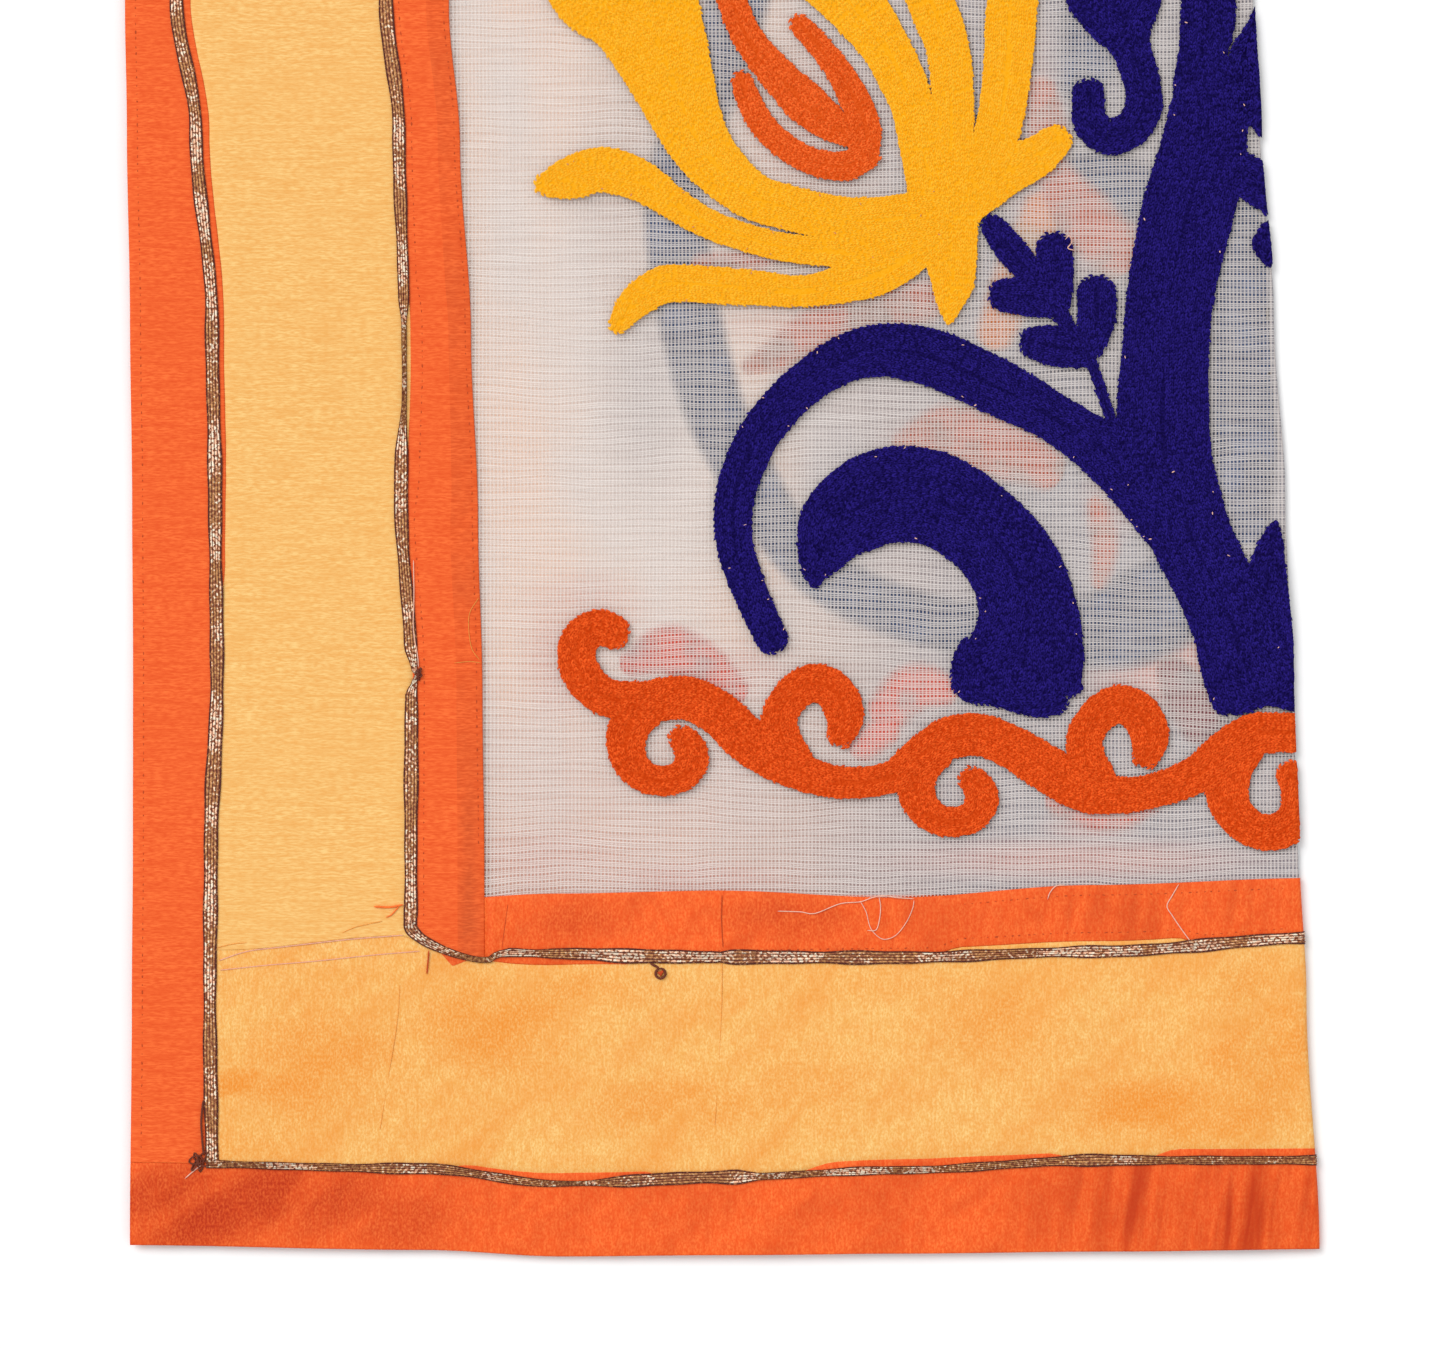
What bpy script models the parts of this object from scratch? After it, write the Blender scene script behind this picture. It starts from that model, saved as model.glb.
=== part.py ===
"""Embroidered dupatta, folded once along its length and laid flat.

Metres, +Z up. X runs across the folded cloth, Y along it, and the origin is under
the middle of the folded piece. The net field and the silk border strips are walls,
the metal ribbons lie on the border seams and the wool motifs lie on the net.
"""

import math

import bmesh
import bpy
from mathutils import Vector
from mathutils.geometry import delaunay_2d_cdt

# Driving dimensions in millimetres, turned to metres in place()
LENGTH = 2300.0  # cut length of the dupatta
WALL = 1.2  # thickness of each cloth wall
LAYER_GAP = 0.4  # air between the back half and the front half
FOLD_RADIUS = 1.7  # outer radius of the lengthwise fold
FOLD_RISE_REACH = 36.0  # how far the fold's extra height runs into the front half
SEAM_GAP = 0.3  # between neighbouring pieces at a seam
RIBBON_WIDTH = 6.0  # metal ribbon, a quarter of an inch
RIBBON_WALL = 0.7
RIBBON_LIFT = 0.3  # ribbon above the strips it covers
WOOL_WALL = 1.2  # height of the chain-stitched wool
WOOL_LIFT = 0.45  # wool above the net it is worked on
BACK_INSET = 3.0  # the back half's side edge lies this far inside the front's
WAVE_HEIGHT = 1.0  # soft rise and fall of the upper layer
WAVE_LENGTH = 330.0
WAVE_SKEW = 0.8  # radians by which the wave lags across the cloth
WAVE_SKEW_LENGTH = 120.0
HEM_WAVE_HEIGHT = 0.7
HEM_WAVE_LENGTH = 230.0
HEM_WAVE_REACH = 60.0
CORNER_DEPTH = 80.0  # from the hem, about where the side seams end
NET_INSET = 165.0  # the net's cross rows keep this far from the hems
COLUMN_GAP = 8.0  # least space between a piece's edge and its next row or column
RIBBON_END_GAP = 0.5  # between a side ribbon's end and the ribbon across it
RIBBON_OVERRUN = 1.0  # the outer end ribbon passes its corner by this much
CAP_DEPTH = 6.5  # how far a wide stroke's blunt end rounds out
CAP_SHARE = 0.8  # and a narrow one's, as a share of its half width
BLUNT_HALF_WIDTH = 3.0  # narrower strokes end in a point
STROKE_STEP = 8.0  # spacing of the points along a motif's outline
CURL_STEP = 5.5  # and along the vine's tighter curls
CUT_STEP = 34.0  # largest patch of a motif, so that it follows the cloth
CUT_SNAP = 0.4  # a cut this near to a corner goes through it
SHORTEST_EDGE = 0.9  # of a motif's outline
SMALLEST_FACE = 0.2  # square millimetres
POINT_SNAP = 0.02  # outline points nearer than this are one point
FLAT_ANGLE = math.radians(4)  # a straighter corner than this is left out
MOTIF_FOLD_GAP = 0.4  # the motifs stop this far inside the turn of the fold

ARC_HALF = math.pi * FOLD_RADIUS / 2
TOP = 2 * WALL + LAYER_GAP  # upper face of the front half where it lies lowest
ROWS = [LENGTH * k / 40 for k in range(1, 40)]  # cross rows shared by the long pieces
REACHES = [0, 4, 10, 20, 36] + [36 + 40 * k for k in range(1, 11)]  # from the fold
ARC_ANGLES = (90, 54, 18, -18, -54, -90)  # degrees round the fold, top to bottom
RIBBON_ANGLES = 4  # the ribbons stop after this many of them
STRIP_SHARES = (0, 0.12, 0.88, 1)  # rows across an end strip, close to its seams

# Lengthwise lines of the front half: distance from the near hem, then the x of
# the cut side edge, the two ribbon seams, the net's edge and the fold
SIDE_LINES = (
    (0, -237.0, -203.8, -125.5, -95.0, 239.0),
    (100, -236.2, -205.0, -124.6, -95.0, 233.8),
    (160, -235.8, -204.6, -124.6, -95.2, 231.0),
    (230, -235.8, -202.2, -124.4, -96.0, 228.6),
    (300, -236.2, -203.0, -128.6, -97.8, 226.0),
    (372, -237.0, -204.2, -127.4, -100.6, 221.4),
    (448, -238.2, -210.6, -129.4, -105.0, 215.8),
    (500, -239.0, -218.4, -134.6, -109.4, 213.0),
    (570, -239.0, -221.0, -136.4, -111.4, 212.0),
    (700, -239.0, -214.0, -131.0, -106.0, 212.0),
    (900, -239.0, -206.0, -127.0, -99.0, 212.0),
    (1150, -239.0, -205.0, -126.0, -98.0, 212.0),
)
EDGE, SEAM_OUTER, SEAM_INNER, NET_EDGE, FOLD = range(1, 6)

# Crosswise lines at each end: x, then the distance from the straight hem of the
# cut hem, the two ribbon seams and the net's edge
END_LINES = (
    (-239, 2.0, 35.0, 124.0, 139.0),
    (-120, 0.0, 32.6, 121.0, 140.0),
    (-66, -2.6, 26.6, 118.0, 142.6),
    (0, -2.0, 29.2, 117.2, 143.8),
    (70, -1.4, 32.0, 117.0, 141.0),
    (150, -0.6, 36.0, 119.4, 146.0),
    (240, 0.4, 36.0, 125.0, 148.8),
)
HEM, END_OUTER, END_INNER, END_NET = range(1, 5)
BACK_ENDS = (0, 2.0, 33.0, 121.0, 143.0)  # the same lines on the back half, straight
BACK_EASE = 40.0  # from the fold to where they run straight

# Wool motifs as strokes. Each row is x, distance from the near hem, width
LOTUS = (
    ((-62, 566, 4), (-54, 540, 50), (-42, 512, 60), (-31, 494, 46), (-22, 473, 36),
     (-14, 452, 28), (-6, 438, 24), (7, 425, 20), (20, 418.5, 18.5), (52, 412, 18),
     (85, 414, 20)),
    ((-71, 426, 10), (-61, 428.5, 17), (-50, 432, 18), (-40, 430.5, 18), (-30, 426, 16),
     (-21, 419.5, 13.5), (-7, 411, 12), (9, 405, 11.5), (25, 401, 11.5), (40, 399.5, 12),
     (56, 400, 14), (80, 408, 16)),
    ((-42, 370, 8), (-35, 379, 13.5), (-24, 386, 15), (-13, 386.4, 15), (1, 385.6, 15),
     (17, 384.4, 14), (31, 383.4, 12.5), (47, 386, 15), (62, 390, 16.5), (74, 397, 16),
     (84, 406, 16)),
    ((91, 416, 22), (91, 400, 22), (92, 388, 18), (91, 378, 11), (90.5, 371, 3)),
    ((-9, 560, 4), (17, 530, 22), (50, 501, 24), (64.5, 482, 20), (71, 470, 19),
     (76, 457, 17.5), (80, 440, 18), (86, 418, 22)),
    ((58, 566, 4), (69, 536, 15), (83, 500, 19), (90, 481, 17.5), (92, 463, 17),
     (92, 440, 17), (90, 418, 20)),
    ((125, 560, 4), (120, 532, 16), (116, 500, 20.5), (114, 473, 19.5), (111, 452, 18.5),
     (105, 434, 17.5), (95, 417, 20)),
    ((134, 444, 13), (125, 437, 17), (113, 431, 19), (97, 421, 22)),
)
HEART = (
    ((7.5, 468, 8.5), (10.5, 460, 10), (16, 450, 10.5), (25.5, 441, 10.5),
     (37, 435, 11), (49, 433.5, 12), (57.5, 438, 12)),
    ((30.5, 490.5, 8.5), (37.5, 483, 9.5), (45.5, 473, 10.5), (53, 460, 12.5),
     (57.5, 448, 12), (56.5, 437, 12)),
    ((-5, 520, 4), (-2, 512, 9), (3, 501, 11.5), (10, 485, 12.5), (22, 470, 14.5),
     (33.5, 458.5, 17), (44, 450, 14), (54, 444, 8)),
)
STEM = (
    ((186, 640, 4), (192, 600, 14), (195, 560, 18), (195, 500, 22), (198, 476, 27),
     (198, 456, 31), (194, 438, 34), (188, 418, 36), (182, 398, 36), (179, 378, 35),
     (177, 358, 35), (175, 338, 37), (176, 318, 39), (182, 298, 39), (190, 276, 36),
     (198, 256, 35), (205, 241, 33), (212, 225, 30)),
    ((190, 270, 28), (176, 293, 34), (157, 313, 30), (135, 330.5, 23.5), (111, 345.5, 24),
     (81.5, 358.5, 23), (57, 359, 20.5), (35, 348, 17.5), (16, 328, 17), (5.5, 304, 16),
     (5, 282, 15), (12, 261, 14), (20, 244, 13)),
    ((220, 292, 3), (218, 282, 12), (217, 270, 15), (216, 256, 18), (214, 238, 22)),
    ((217, 500, 3), (214.5, 484, 11), (211, 466, 16), (206, 452, 16)),
    ((199, 428, 22), (208, 427, 19), (222, 425, 17)),
    ((156, 330, 4.5), (150, 348, 4.5), (145, 360, 5), (139, 368, 6), (133, 378, 8)),
    ((150, 382, 14), (150, 372, 15), (147, 361, 10)),
    ((124, 363, 13), (133, 361.5, 16.5), (144, 359, 13)),
    ((112, 382, 13.5), (123, 381, 15.5), (134, 379, 13)),
    ((132, 399, 13), (133.5, 388, 13.5), (134, 377, 11)),
    ((110.5, 407, 9), (114.5, 401.5, 11.5), (121.5, 394, 12), (130, 385, 9.5)),
)
BROAD_LEAF = (
    ((37, 267, 5), (38, 274, 16), (46, 290, 32), (63, 301, 38), (83, 301, 38),
     (102, 290, 36), (116, 274, 37), (122, 256, 40), (121.5, 240, 47),
     (118.5, 228, 52), (118, 222, 50)),
)
HOOK_LEAF = (
    ((151, 548, 4), (153, 526, 32), (156, 505, 39), (160, 492, 30), (163, 482, 17),
     (167, 470, 15), (168.5, 458, 15), (163.5, 448.5, 15), (154, 445.5, 15),
     (147, 451.5, 14), (146, 460, 12.5)),
)
# The scroll vine: a wavy main line, and curls that leave it below and above
VINE_LINE = (
    ((-43, 247, 14), (-50, 249, 15), (-57, 244, 15.5), (-58, 235, 15.5), (-54, 227, 15.5),
     (-46, 221, 15.5), (-32, 219, 17), (-16, 221, 17.5), (-2, 215, 18), (11, 203, 18.5),
     (27, 193, 15.5), (47, 187, 13), (67, 189, 13), (78, 197, 15), (90, 204.5, 17),
     (103, 206, 17), (116, 201, 17.5), (129, 193, 18.5), (145, 184, 18), (161, 182, 14.5),
     (177, 185, 14), (191, 191, 15.5), (201, 199, 17.5), (213, 205, 18), (240, 206, 17)),
)
CURL_BELOW = ((1, 18, 14), (0, 9, 16), (3, -4, 15), (12, -10, 15), (22, -8, 15),
              (26, 1, 14), (22, 7, 10))
CURL_ABOVE = ((-10, -17, 16), (-8, 1, 15), (-1, 8, 15), (8, 9, 15), (16.5, 3, 16),
              (18.5, -6.5, 15), (17.5, -11, 11))
CURLS_BELOW_AT = ((-37, 198), (77, 181), (200, 178))  # places of the lower curls
CURLS_ABOVE_AT = ((33, 217), (153, 208.5))  # and of the upper ones

COLOURS = {
    "orange_silk": (0.92, 0.14, 0.04),
    "yellow_silk": (0.96, 0.54, 0.18),
    "net": (0.73, 0.60, 0.53),
    "gota": (0.40, 0.27, 0.15),
    "yellow_wool": (1.00, 0.45, 0.01),
    "blue_wool": (0.012, 0.007, 0.11),
    "orange_wool": (0.75, 0.08, 0.012),
}


def lookup(table, column, at):
    """Reads a column of a table smoothly between its rows."""
    if at <= table[0][0]:
        return table[0][column]
    for low, high in zip(table, table[1:]):
        if at <= high[0]:
            share = (at - low[0]) / (high[0] - low[0])
            share = share * share * (3 - 2 * share)
            return low[column] + (high[column] - low[column]) * share
    return table[-1][column]


def side_line(column, d):
    """x of a lengthwise line; the far half mirrors the near half."""
    return lookup(SIDE_LINES, column, min(d, LENGTH - d))


def end_line(column, x, far):
    """Distance from the near hem of a crosswise line, at either end."""
    d = lookup(END_LINES, column, x)
    return LENGTH - d if far else d


def fold_centre(d):
    return side_line(FOLD, d) - FOLD_RADIUS


def height(x, d):
    """Upper face of the front half."""
    reach = max(0.0, fold_centre(d) - x)
    share = min(1.0, reach / FOLD_RISE_REACH)
    rise = (2 * FOLD_RADIUS - TOP) * (1 - share * share * (3 - 2 * share))
    turn = math.tau * d / WAVE_LENGTH + WAVE_SKEW * math.sin(x / WAVE_SKEW_LENGTH)
    wave = WAVE_HEIGHT * (0.5 + 0.5 * math.sin(turn))
    hem = min(d, LENGTH - d)
    ruffle = 0.5 + 0.5 * math.sin(math.tau * x / HEM_WAVE_LENGTH + 1)
    wave += HEM_WAVE_HEIGHT * ruffle * math.exp(-max(hem, 0) / HEM_WAVE_REACH)
    return TOP + rise + wave * (share * share * (3 - 2 * share))


def place(x, d, z):
    return Vector((x / 1000, (d - LENGTH / 2) / 1000, z / 1000))


def front(x, d, out=0.0):
    return place(x, d, height(x, d) + out)


def round_fold(angle, d, out=0.0):
    turn = math.radians(angle)
    radius = FOLD_RADIUS + out
    x = fold_centre(d) + radius * math.cos(turn)
    return place(x, d, FOLD_RADIUS + radius * math.sin(turn))


def back(x, d):
    return place(x, d, 0.0)


def material(name):
    made = bpy.data.materials.get(name)
    if made is None:
        made = bpy.data.materials.new(name)
        made.use_nodes = True
        shader = made.node_tree.nodes["Principled BSDF"]
        shader.inputs["Base Color"].default_value = (*COLOURS[name], 1)
        shader.inputs["Roughness"].default_value = 0.4 if name == "gota" else 0.8
        shader.inputs["Metallic"].default_value = 0.8 if name == "gota" else 0.0
    return made


def finish_object(name, bm, finish, wall, outward):
    """Turns an open surface into a wall of the given thickness."""
    mesh = bpy.data.meshes.new(name)
    bm.to_mesh(mesh)
    bm.free()
    mesh.materials.append(material(finish))
    made = bpy.data.objects.new(name, mesh)
    parts.objects.link(made)
    solid = made.modifiers.new("Wall", "SOLIDIFY")
    solid.thickness = wall / 1000
    solid.offset = 1 if outward else -1
    return made


def sheet(name, finish, columns, wall=WALL, outward=False):
    """A wall from a grid of points, given as columns of equal length."""
    bm = bmesh.new()
    grid = [[bm.verts.new(point) for point in column] for column in columns]
    for left, right in zip(grid, grid[1:]):
        for k in range(len(left) - 1):
            bm.faces.new((left[k], right[k], right[k + 1], left[k + 1]))
    return finish_object(name, bm, finish, wall, outward)


def spread(low, high, inner):
    """The two ends and the given inner values that lie well between them."""
    return [low] + [v for v in inner if low + COLUMN_GAP < v < high - COLUMN_GAP] + [high]


def side_strip(name, finish, left, right, start, on_back=False):
    """A border strip along the open long side, from end seam to end seam."""
    gap = SEAM_GAP / 2
    shift = BACK_INSET if on_back else 0.0
    columns = []
    for line, side in ((left, 0 if left == EDGE else gap), (right, -gap)):
        seam_x = side_line(line, CORNER_DEPTH) + side + shift
        near = (BACK_ENDS[start] if on_back else end_line(start, seam_x, False)) + gap
        stations = spread(near, LENGTH - near, ROWS)
        points = [(side_line(line, d) + side + shift, d) for d in stations]
        columns.append([back(*p) if on_back else front(*p) for p in points])
    if on_back:
        columns = [column[::-1] for column in columns]
    return sheet(name, finish, columns)


def settle(rows, x_of):
    """Distances where a column at x_of(d) meets each crosswise line."""
    values = rows(x_of(CORNER_DEPTH))
    for _ in range(3):
        values = [rows(x_of(d))[k] for k, d in enumerate(values)]
    return values


def wrapped(rows, left, out=0.0, with_back=True):
    """Columns of a piece that runs from the front's left, round the fold, under.

    rows(x) gives the crosswise distances at x, rows(x, True) those of the back half,
    and left(d) the x where the piece begins on the front half.
    """
    columns = [[front(left(d), d, out) for d in settle(rows, left)]]
    room = min(fold_centre(d) - left(d) for d in ROWS) - COLUMN_GAP
    for reach in reversed(REACHES):
        if reach < room:
            def at_reach(d, reach=reach):
                return fold_centre(d) - reach
            columns.append([front(at_reach(d), d, out) for d in settle(rows, at_reach)])
    at_fold = settle(rows, fold_centre)
    for angle in ARC_ANGLES[1:] if with_back else ARC_ANGLES[1:RIBBON_ANGLES]:
        columns.append([round_fold(angle, d, out) for d in at_fold])
    if with_back:
        straight = rows(0, True)
        columns.append([back(fold_centre(d) - BACK_EASE, d) for d in straight])
        columns.append([back(left(d) + BACK_INSET, d) for d in straight])
    return columns


def end_strip(name, finish, low, high, left, far):
    """A border strip across an end, round the fold and back under."""
    gap = SEAM_GAP / 2

    def rows(x, under=False):
        near = BACK_ENDS[low] if under else end_line(low, x, False)
        near += 0 if low == HEM else gap
        away = (BACK_ENDS[high] if under else end_line(high, x, False)) - gap
        values = [near + (away - near) * share for share in STRIP_SHARES]
        return [LENGTH - v for v in reversed(values)] if far else values

    def start(d):
        return side_line(left, d) + (0 if left == EDGE else gap)

    return sheet(name, finish, wrapped(rows, start))


def end_ribbon(name, line, left, far):
    """A metal ribbon over an end seam, from the side ribbon to round the fold."""
    half = RIBBON_WIDTH / 2

    def rows(x):
        d = end_line(line, x, far)
        return [d - half, d + half]

    def start(d):
        return side_line(left, d) - half - (RIBBON_OVERRUN if left == SEAM_OUTER else 0)

    columns = wrapped(rows, start, RIBBON_LIFT, with_back=False)
    return sheet(name, "gota", columns, RIBBON_WALL, outward=True)


def side_ribbon(name, seam, line):
    """A metal ribbon over a lengthwise seam, between the two end ribbons."""
    half = RIBBON_WIDTH / 2
    near = end_line(line, side_line(seam, CORNER_DEPTH), False) + half + RIBBON_END_GAP
    far = LENGTH - near
    columns = []
    for side in (-half, half):
        columns.append([front(side_line(seam, d) + side, d, RIBBON_LIFT)
                        for d in spread(near, far, ROWS)])
    return sheet(name, "gota", columns, RIBBON_WALL, outward=True)


def net_field():
    """The net, one piece of cloth: front half, fold and back half."""
    gap = SEAM_GAP / 2
    inner = [d for d in ROWS if NET_INSET < d < LENGTH - NET_INSET]

    def rows(x, under=False):
        low = (BACK_ENDS[END_NET] if under else end_line(END_NET, x, False)) + gap
        return spread(low, LENGTH - low, inner)

    def start(d):
        return side_line(NET_EDGE, d) + gap

    return sheet("net_field", "net", wrapped(rows, start))


def smooth_rows(rows, step):
    """Points along a stroke's centre line, about a step apart, with widths."""
    points = [Vector(row) for row in rows]
    points = [2 * points[0] - points[1]] + points + [2 * points[-1] - points[-2]]
    line = []
    for a, b, c, e in zip(points, points[1:], points[2:], points[3:]):
        count = max(1, round((c.xy - b.xy).length / step))
        for k in range(count):
            t = k / count
            line.append(0.5 * (2 * b + (c - a) * t + (2 * a - 5 * b + 4 * c - e) * t * t
                               + (3 * b - a - 3 * c + e) * t * t * t))
    line.append(points[-2])
    return line


def stroke_faces(rows, step):
    """Triangles along a stroke and a half round at each end, as lists of 2D points."""
    line = smooth_rows(rows, step)
    sides = []
    for k, point in enumerate(line):
        way = (line[min(k + 1, len(line) - 1)] - line[max(k - 1, 0)]).xy.normalized()
        across = Vector((-way.y, way.x)) * point.z / 2
        sides.append((point.xy + across, point.xy - across, way))
    faces = [half for a, b in zip(sides, sides[1:])
             for half in ([a[0], a[1], b[1]], [a[0], b[1], b[0]])]
    for end, sign in ((0, -1), (-1, 1)):
        left, right, way = sides[end]
        centre, radius = line[end].xy, line[end].z / 2
        if radius > BLUNT_HALF_WIDTH:
            spoke = left - centre
            reach = way * sign * min(CAP_SHARE * radius, CAP_DEPTH)
            turns = [math.pi * k / 4 for k in range(5)]
            cap = [centre + spoke * math.cos(turn) + reach * math.sin(turn) for turn in turns]
            faces.append(cap if sign > 0 else cap[::-1])
    return faces


def motif(name, finish, strokes, far=False, step=STROKE_STEP):
    """A raised wool motif: the union of its strokes, laid on the net.

    It is drawn flat in millimetres, and each point is then set on the front half.
    """
    points, faces = [], []
    for rows in strokes:
        for face in stroke_faces(rows, step):
            faces.append(list(range(len(points), len(points) + len(face))))
            for p in face:
                points.append(Vector((min(p.x, fold_centre(p.y) - MOTIF_FOLD_GAP), p.y)))
    outlines = []
    for face in faces:
        area = sum(points[a].cross(points[b]) for a, b in zip(face, face[1:] + face[:1]))
        if abs(area) > SMALLEST_FACE:
            outlines.append(face if area > 0 else face[::-1])
    flat = delaunay_2d_cdt(points, [], outlines, 1, POINT_SNAP, True)
    made, _, triangles, _, _, owners = flat
    bm = bmesh.new()
    verts = [bm.verts.new((p.x, p.y, 0)) for p in made]
    for triangle, owner in zip(triangles, owners):
        if owner:
            bm.faces.new([verts[k] for k in triangle])
    bmesh.ops.delete(bm, geom=[v for v in bm.verts if not v.link_faces], context="VERTS")
    bmesh.ops.dissolve_limit(bm, angle_limit=FLAT_ANGLE, verts=bm.verts, edges=bm.edges)
    bmesh.ops.remove_doubles(bm, verts=bm.verts, dist=SHORTEST_EDGE)
    lows = [min(v.co[axis] for v in bm.verts) for axis in (0, 1)]
    highs = [max(v.co[axis] for v in bm.verts) for axis in (0, 1)]
    for axis, normal in ((0, (1, 0, 0)), (1, (0, 1, 0))):
        count = int((highs[axis] - lows[axis]) / CUT_STEP)
        for k in range(1, count + 1):
            at = [0, 0, 0]
            at[axis] = lows[axis] + (highs[axis] - lows[axis]) * k / (count + 1)
            bmesh.ops.bisect_plane(bm, geom=bm.verts[:] + bm.edges[:] + bm.faces[:],
                                   plane_co=at, plane_no=normal, dist=CUT_SNAP)
    bmesh.ops.triangulate(bm, faces=bm.faces)
    for vert in bm.verts:
        x, d = vert.co.x, vert.co.y
        vert.co = front(x, LENGTH - d if far else d, WOOL_LIFT)
    bmesh.ops.recalc_face_normals(bm, faces=bm.faces)
    if sum(face.normal.z for face in bm.faces) < 0:
        bmesh.ops.reverse_faces(bm, faces=bm.faces)
    return finish_object(name, bm, finish, WOOL_WALL, True)


def curls(table, places):
    """A copy of one curl's rows at each of the places."""
    return [[(x + dx, d + dd, width) for dx, dd, width in table] for x, d in places]


for scene_object in list(bpy.data.objects):
    bpy.data.objects.remove(scene_object, do_unlink=True)
parts = bpy.data.collections.new("embroidered_dupatta")
bpy.context.scene.collection.children.link(parts)

net_field()
for layer, under in (("front", False), ("back", True)):
    side_strip(f"{layer}_side_outer_strip", "orange_silk", EDGE, SEAM_OUTER, END_OUTER, under)
    side_strip(f"{layer}_side_middle_strip", "yellow_silk", SEAM_OUTER, SEAM_INNER, END_INNER, under)
    side_strip(f"{layer}_side_inner_strip", "orange_silk", SEAM_INNER, NET_EDGE, END_INNER, under)
side_ribbon("side_outer_ribbon", SEAM_OUTER, END_OUTER)
side_ribbon("side_inner_ribbon", SEAM_INNER, END_INNER)
vine = list(VINE_LINE) + curls(CURL_BELOW, CURLS_BELOW_AT) + curls(CURL_ABOVE, CURLS_ABOVE_AT)
for end, far in (("near", False), ("far", True)):
    end_strip(f"{end}_outer_strip", "orange_silk", HEM, END_OUTER, EDGE, far)
    end_strip(f"{end}_middle_strip", "yellow_silk", END_OUTER, END_INNER, SEAM_OUTER, far)
    end_strip(f"{end}_inner_strip", "orange_silk", END_INNER, END_NET, NET_EDGE, far)
    end_ribbon(f"{end}_outer_ribbon", END_OUTER, SEAM_OUTER, far)
    end_ribbon(f"{end}_inner_ribbon", END_INNER, SEAM_INNER, far)
    motif(f"{end}_lotus", "yellow_wool", LOTUS, far)
    motif(f"{end}_lotus_heart", "orange_wool", HEART, far)
    motif(f"{end}_stem", "blue_wool", STEM, far)
    motif(f"{end}_broad_leaf", "blue_wool", BROAD_LEAF, far)
    motif(f"{end}_hook_leaf", "blue_wool", HOOK_LEAF, far)
    motif(f"{end}_vine", "orange_wool", vine, far, CURL_STEP)
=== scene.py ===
import math

import bmesh
import bpy
import numpy as np
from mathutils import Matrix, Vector
from mathutils.geometry import delaunay_2d_cdt


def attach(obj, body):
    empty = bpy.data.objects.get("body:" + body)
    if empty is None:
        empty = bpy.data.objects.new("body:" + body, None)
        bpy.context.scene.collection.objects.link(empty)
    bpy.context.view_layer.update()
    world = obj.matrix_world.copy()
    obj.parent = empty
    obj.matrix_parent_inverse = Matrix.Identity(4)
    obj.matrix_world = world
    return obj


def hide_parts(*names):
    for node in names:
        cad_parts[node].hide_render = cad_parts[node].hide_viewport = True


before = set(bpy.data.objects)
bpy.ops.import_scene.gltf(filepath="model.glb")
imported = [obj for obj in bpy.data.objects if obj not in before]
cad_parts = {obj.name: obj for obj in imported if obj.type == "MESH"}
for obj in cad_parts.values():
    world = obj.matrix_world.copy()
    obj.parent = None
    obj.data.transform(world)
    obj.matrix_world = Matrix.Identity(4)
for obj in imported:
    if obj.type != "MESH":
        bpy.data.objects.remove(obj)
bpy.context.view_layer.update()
print("frame loaded:", len(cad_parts), "nodes")

# How the cloth lies
# Sizes are millimetres. Cloth is laid out on its flat cut, x across it and d along it
# from the near hem. Past the fold's centre x runs on round the fold and back underneath.
cloth = {
    "length": 2300.0,
    "topOfFront": 2.8,       # two walls and the air between them
    "foldRadius": 1.7,
    "foldReach": 36.0,       # the fold's extra height runs this far into the front half
    "waveHeight": 1.0,
    "waveLength": 330.0,
    "waveSkew": 0.8,
    "waveSkewLength": 120.0,
    "hemWaveHeight": 0.7,
    "hemWaveLength": 230.0,
    "hemWaveReach": 60.0,
    "backInset": 3.0,        # the under half's open edge lies this far inside
    "fineTo": 560.0,         # rows are close from the near hem to here, beyond the pattern
    "cornerAt": 80.0,        # d where the side lines are read for the pieces that cross them
    "foldAt": 230.0,         # and x where the end lines are read to find the fold
}

# Lengthwise lines of the front half: d, then x of the cut edge, the two ribbons' middles,
# the net's edge and the fold. The far half mirrors the near half.
sideLines = np.array((
    (0, -237.0, -203.8, -125.5, -95.0, 239.0),
    (100, -236.2, -205.0, -124.6, -95.0, 233.8),
    (160, -235.8, -204.6, -124.6, -95.2, 231.0),
    (230, -235.8, -202.2, -124.4, -96.0, 228.6),
    (300, -236.2, -203.0, -128.6, -97.8, 226.0),
    (372, -237.0, -204.2, -127.4, -100.6, 221.4),
    (448, -238.2, -210.6, -129.4, -105.0, 215.8),
    (500, -239.0, -218.4, -134.6, -109.4, 213.0),
    (570, -239.0, -221.0, -136.4, -111.4, 212.0),
    (700, -239.0, -214.0, -131.0, -106.0, 212.0),
    (900, -239.0, -206.0, -127.0, -99.0, 212.0),
    (1150, -239.0, -205.0, -126.0, -98.0, 212.0),
))
cutEdge, outerSeam, innerSeam, netEdge, foldLine = range(1, 6)

# Crosswise lines at each end: x, then d of the hem, the two ribbons and the net's edge
endLines = np.array((
    (-239, 2.0, 35.0, 124.0, 139.0),
    (-120, 0.0, 32.6, 121.0, 140.0),
    (-66, -2.6, 26.6, 118.0, 142.6),
    (0, -2.0, 29.2, 117.2, 143.8),
    (70, -1.4, 32.0, 117.0, 141.0),
    (150, -0.6, 36.0, 119.4, 146.0),
    (240, 0.4, 36.0, 125.0, 148.8),
))
hemLine, outerCross, innerCross, netCross = range(1, 5)
backEnds = {hemLine: 2.0, outerCross: 33.0, innerCross: 121.0, netCross: 148.0}


def eased(share):
    # a share from 0 to 1 with a soft start and end
    return share * share * (3 - 2 * share)


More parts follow.
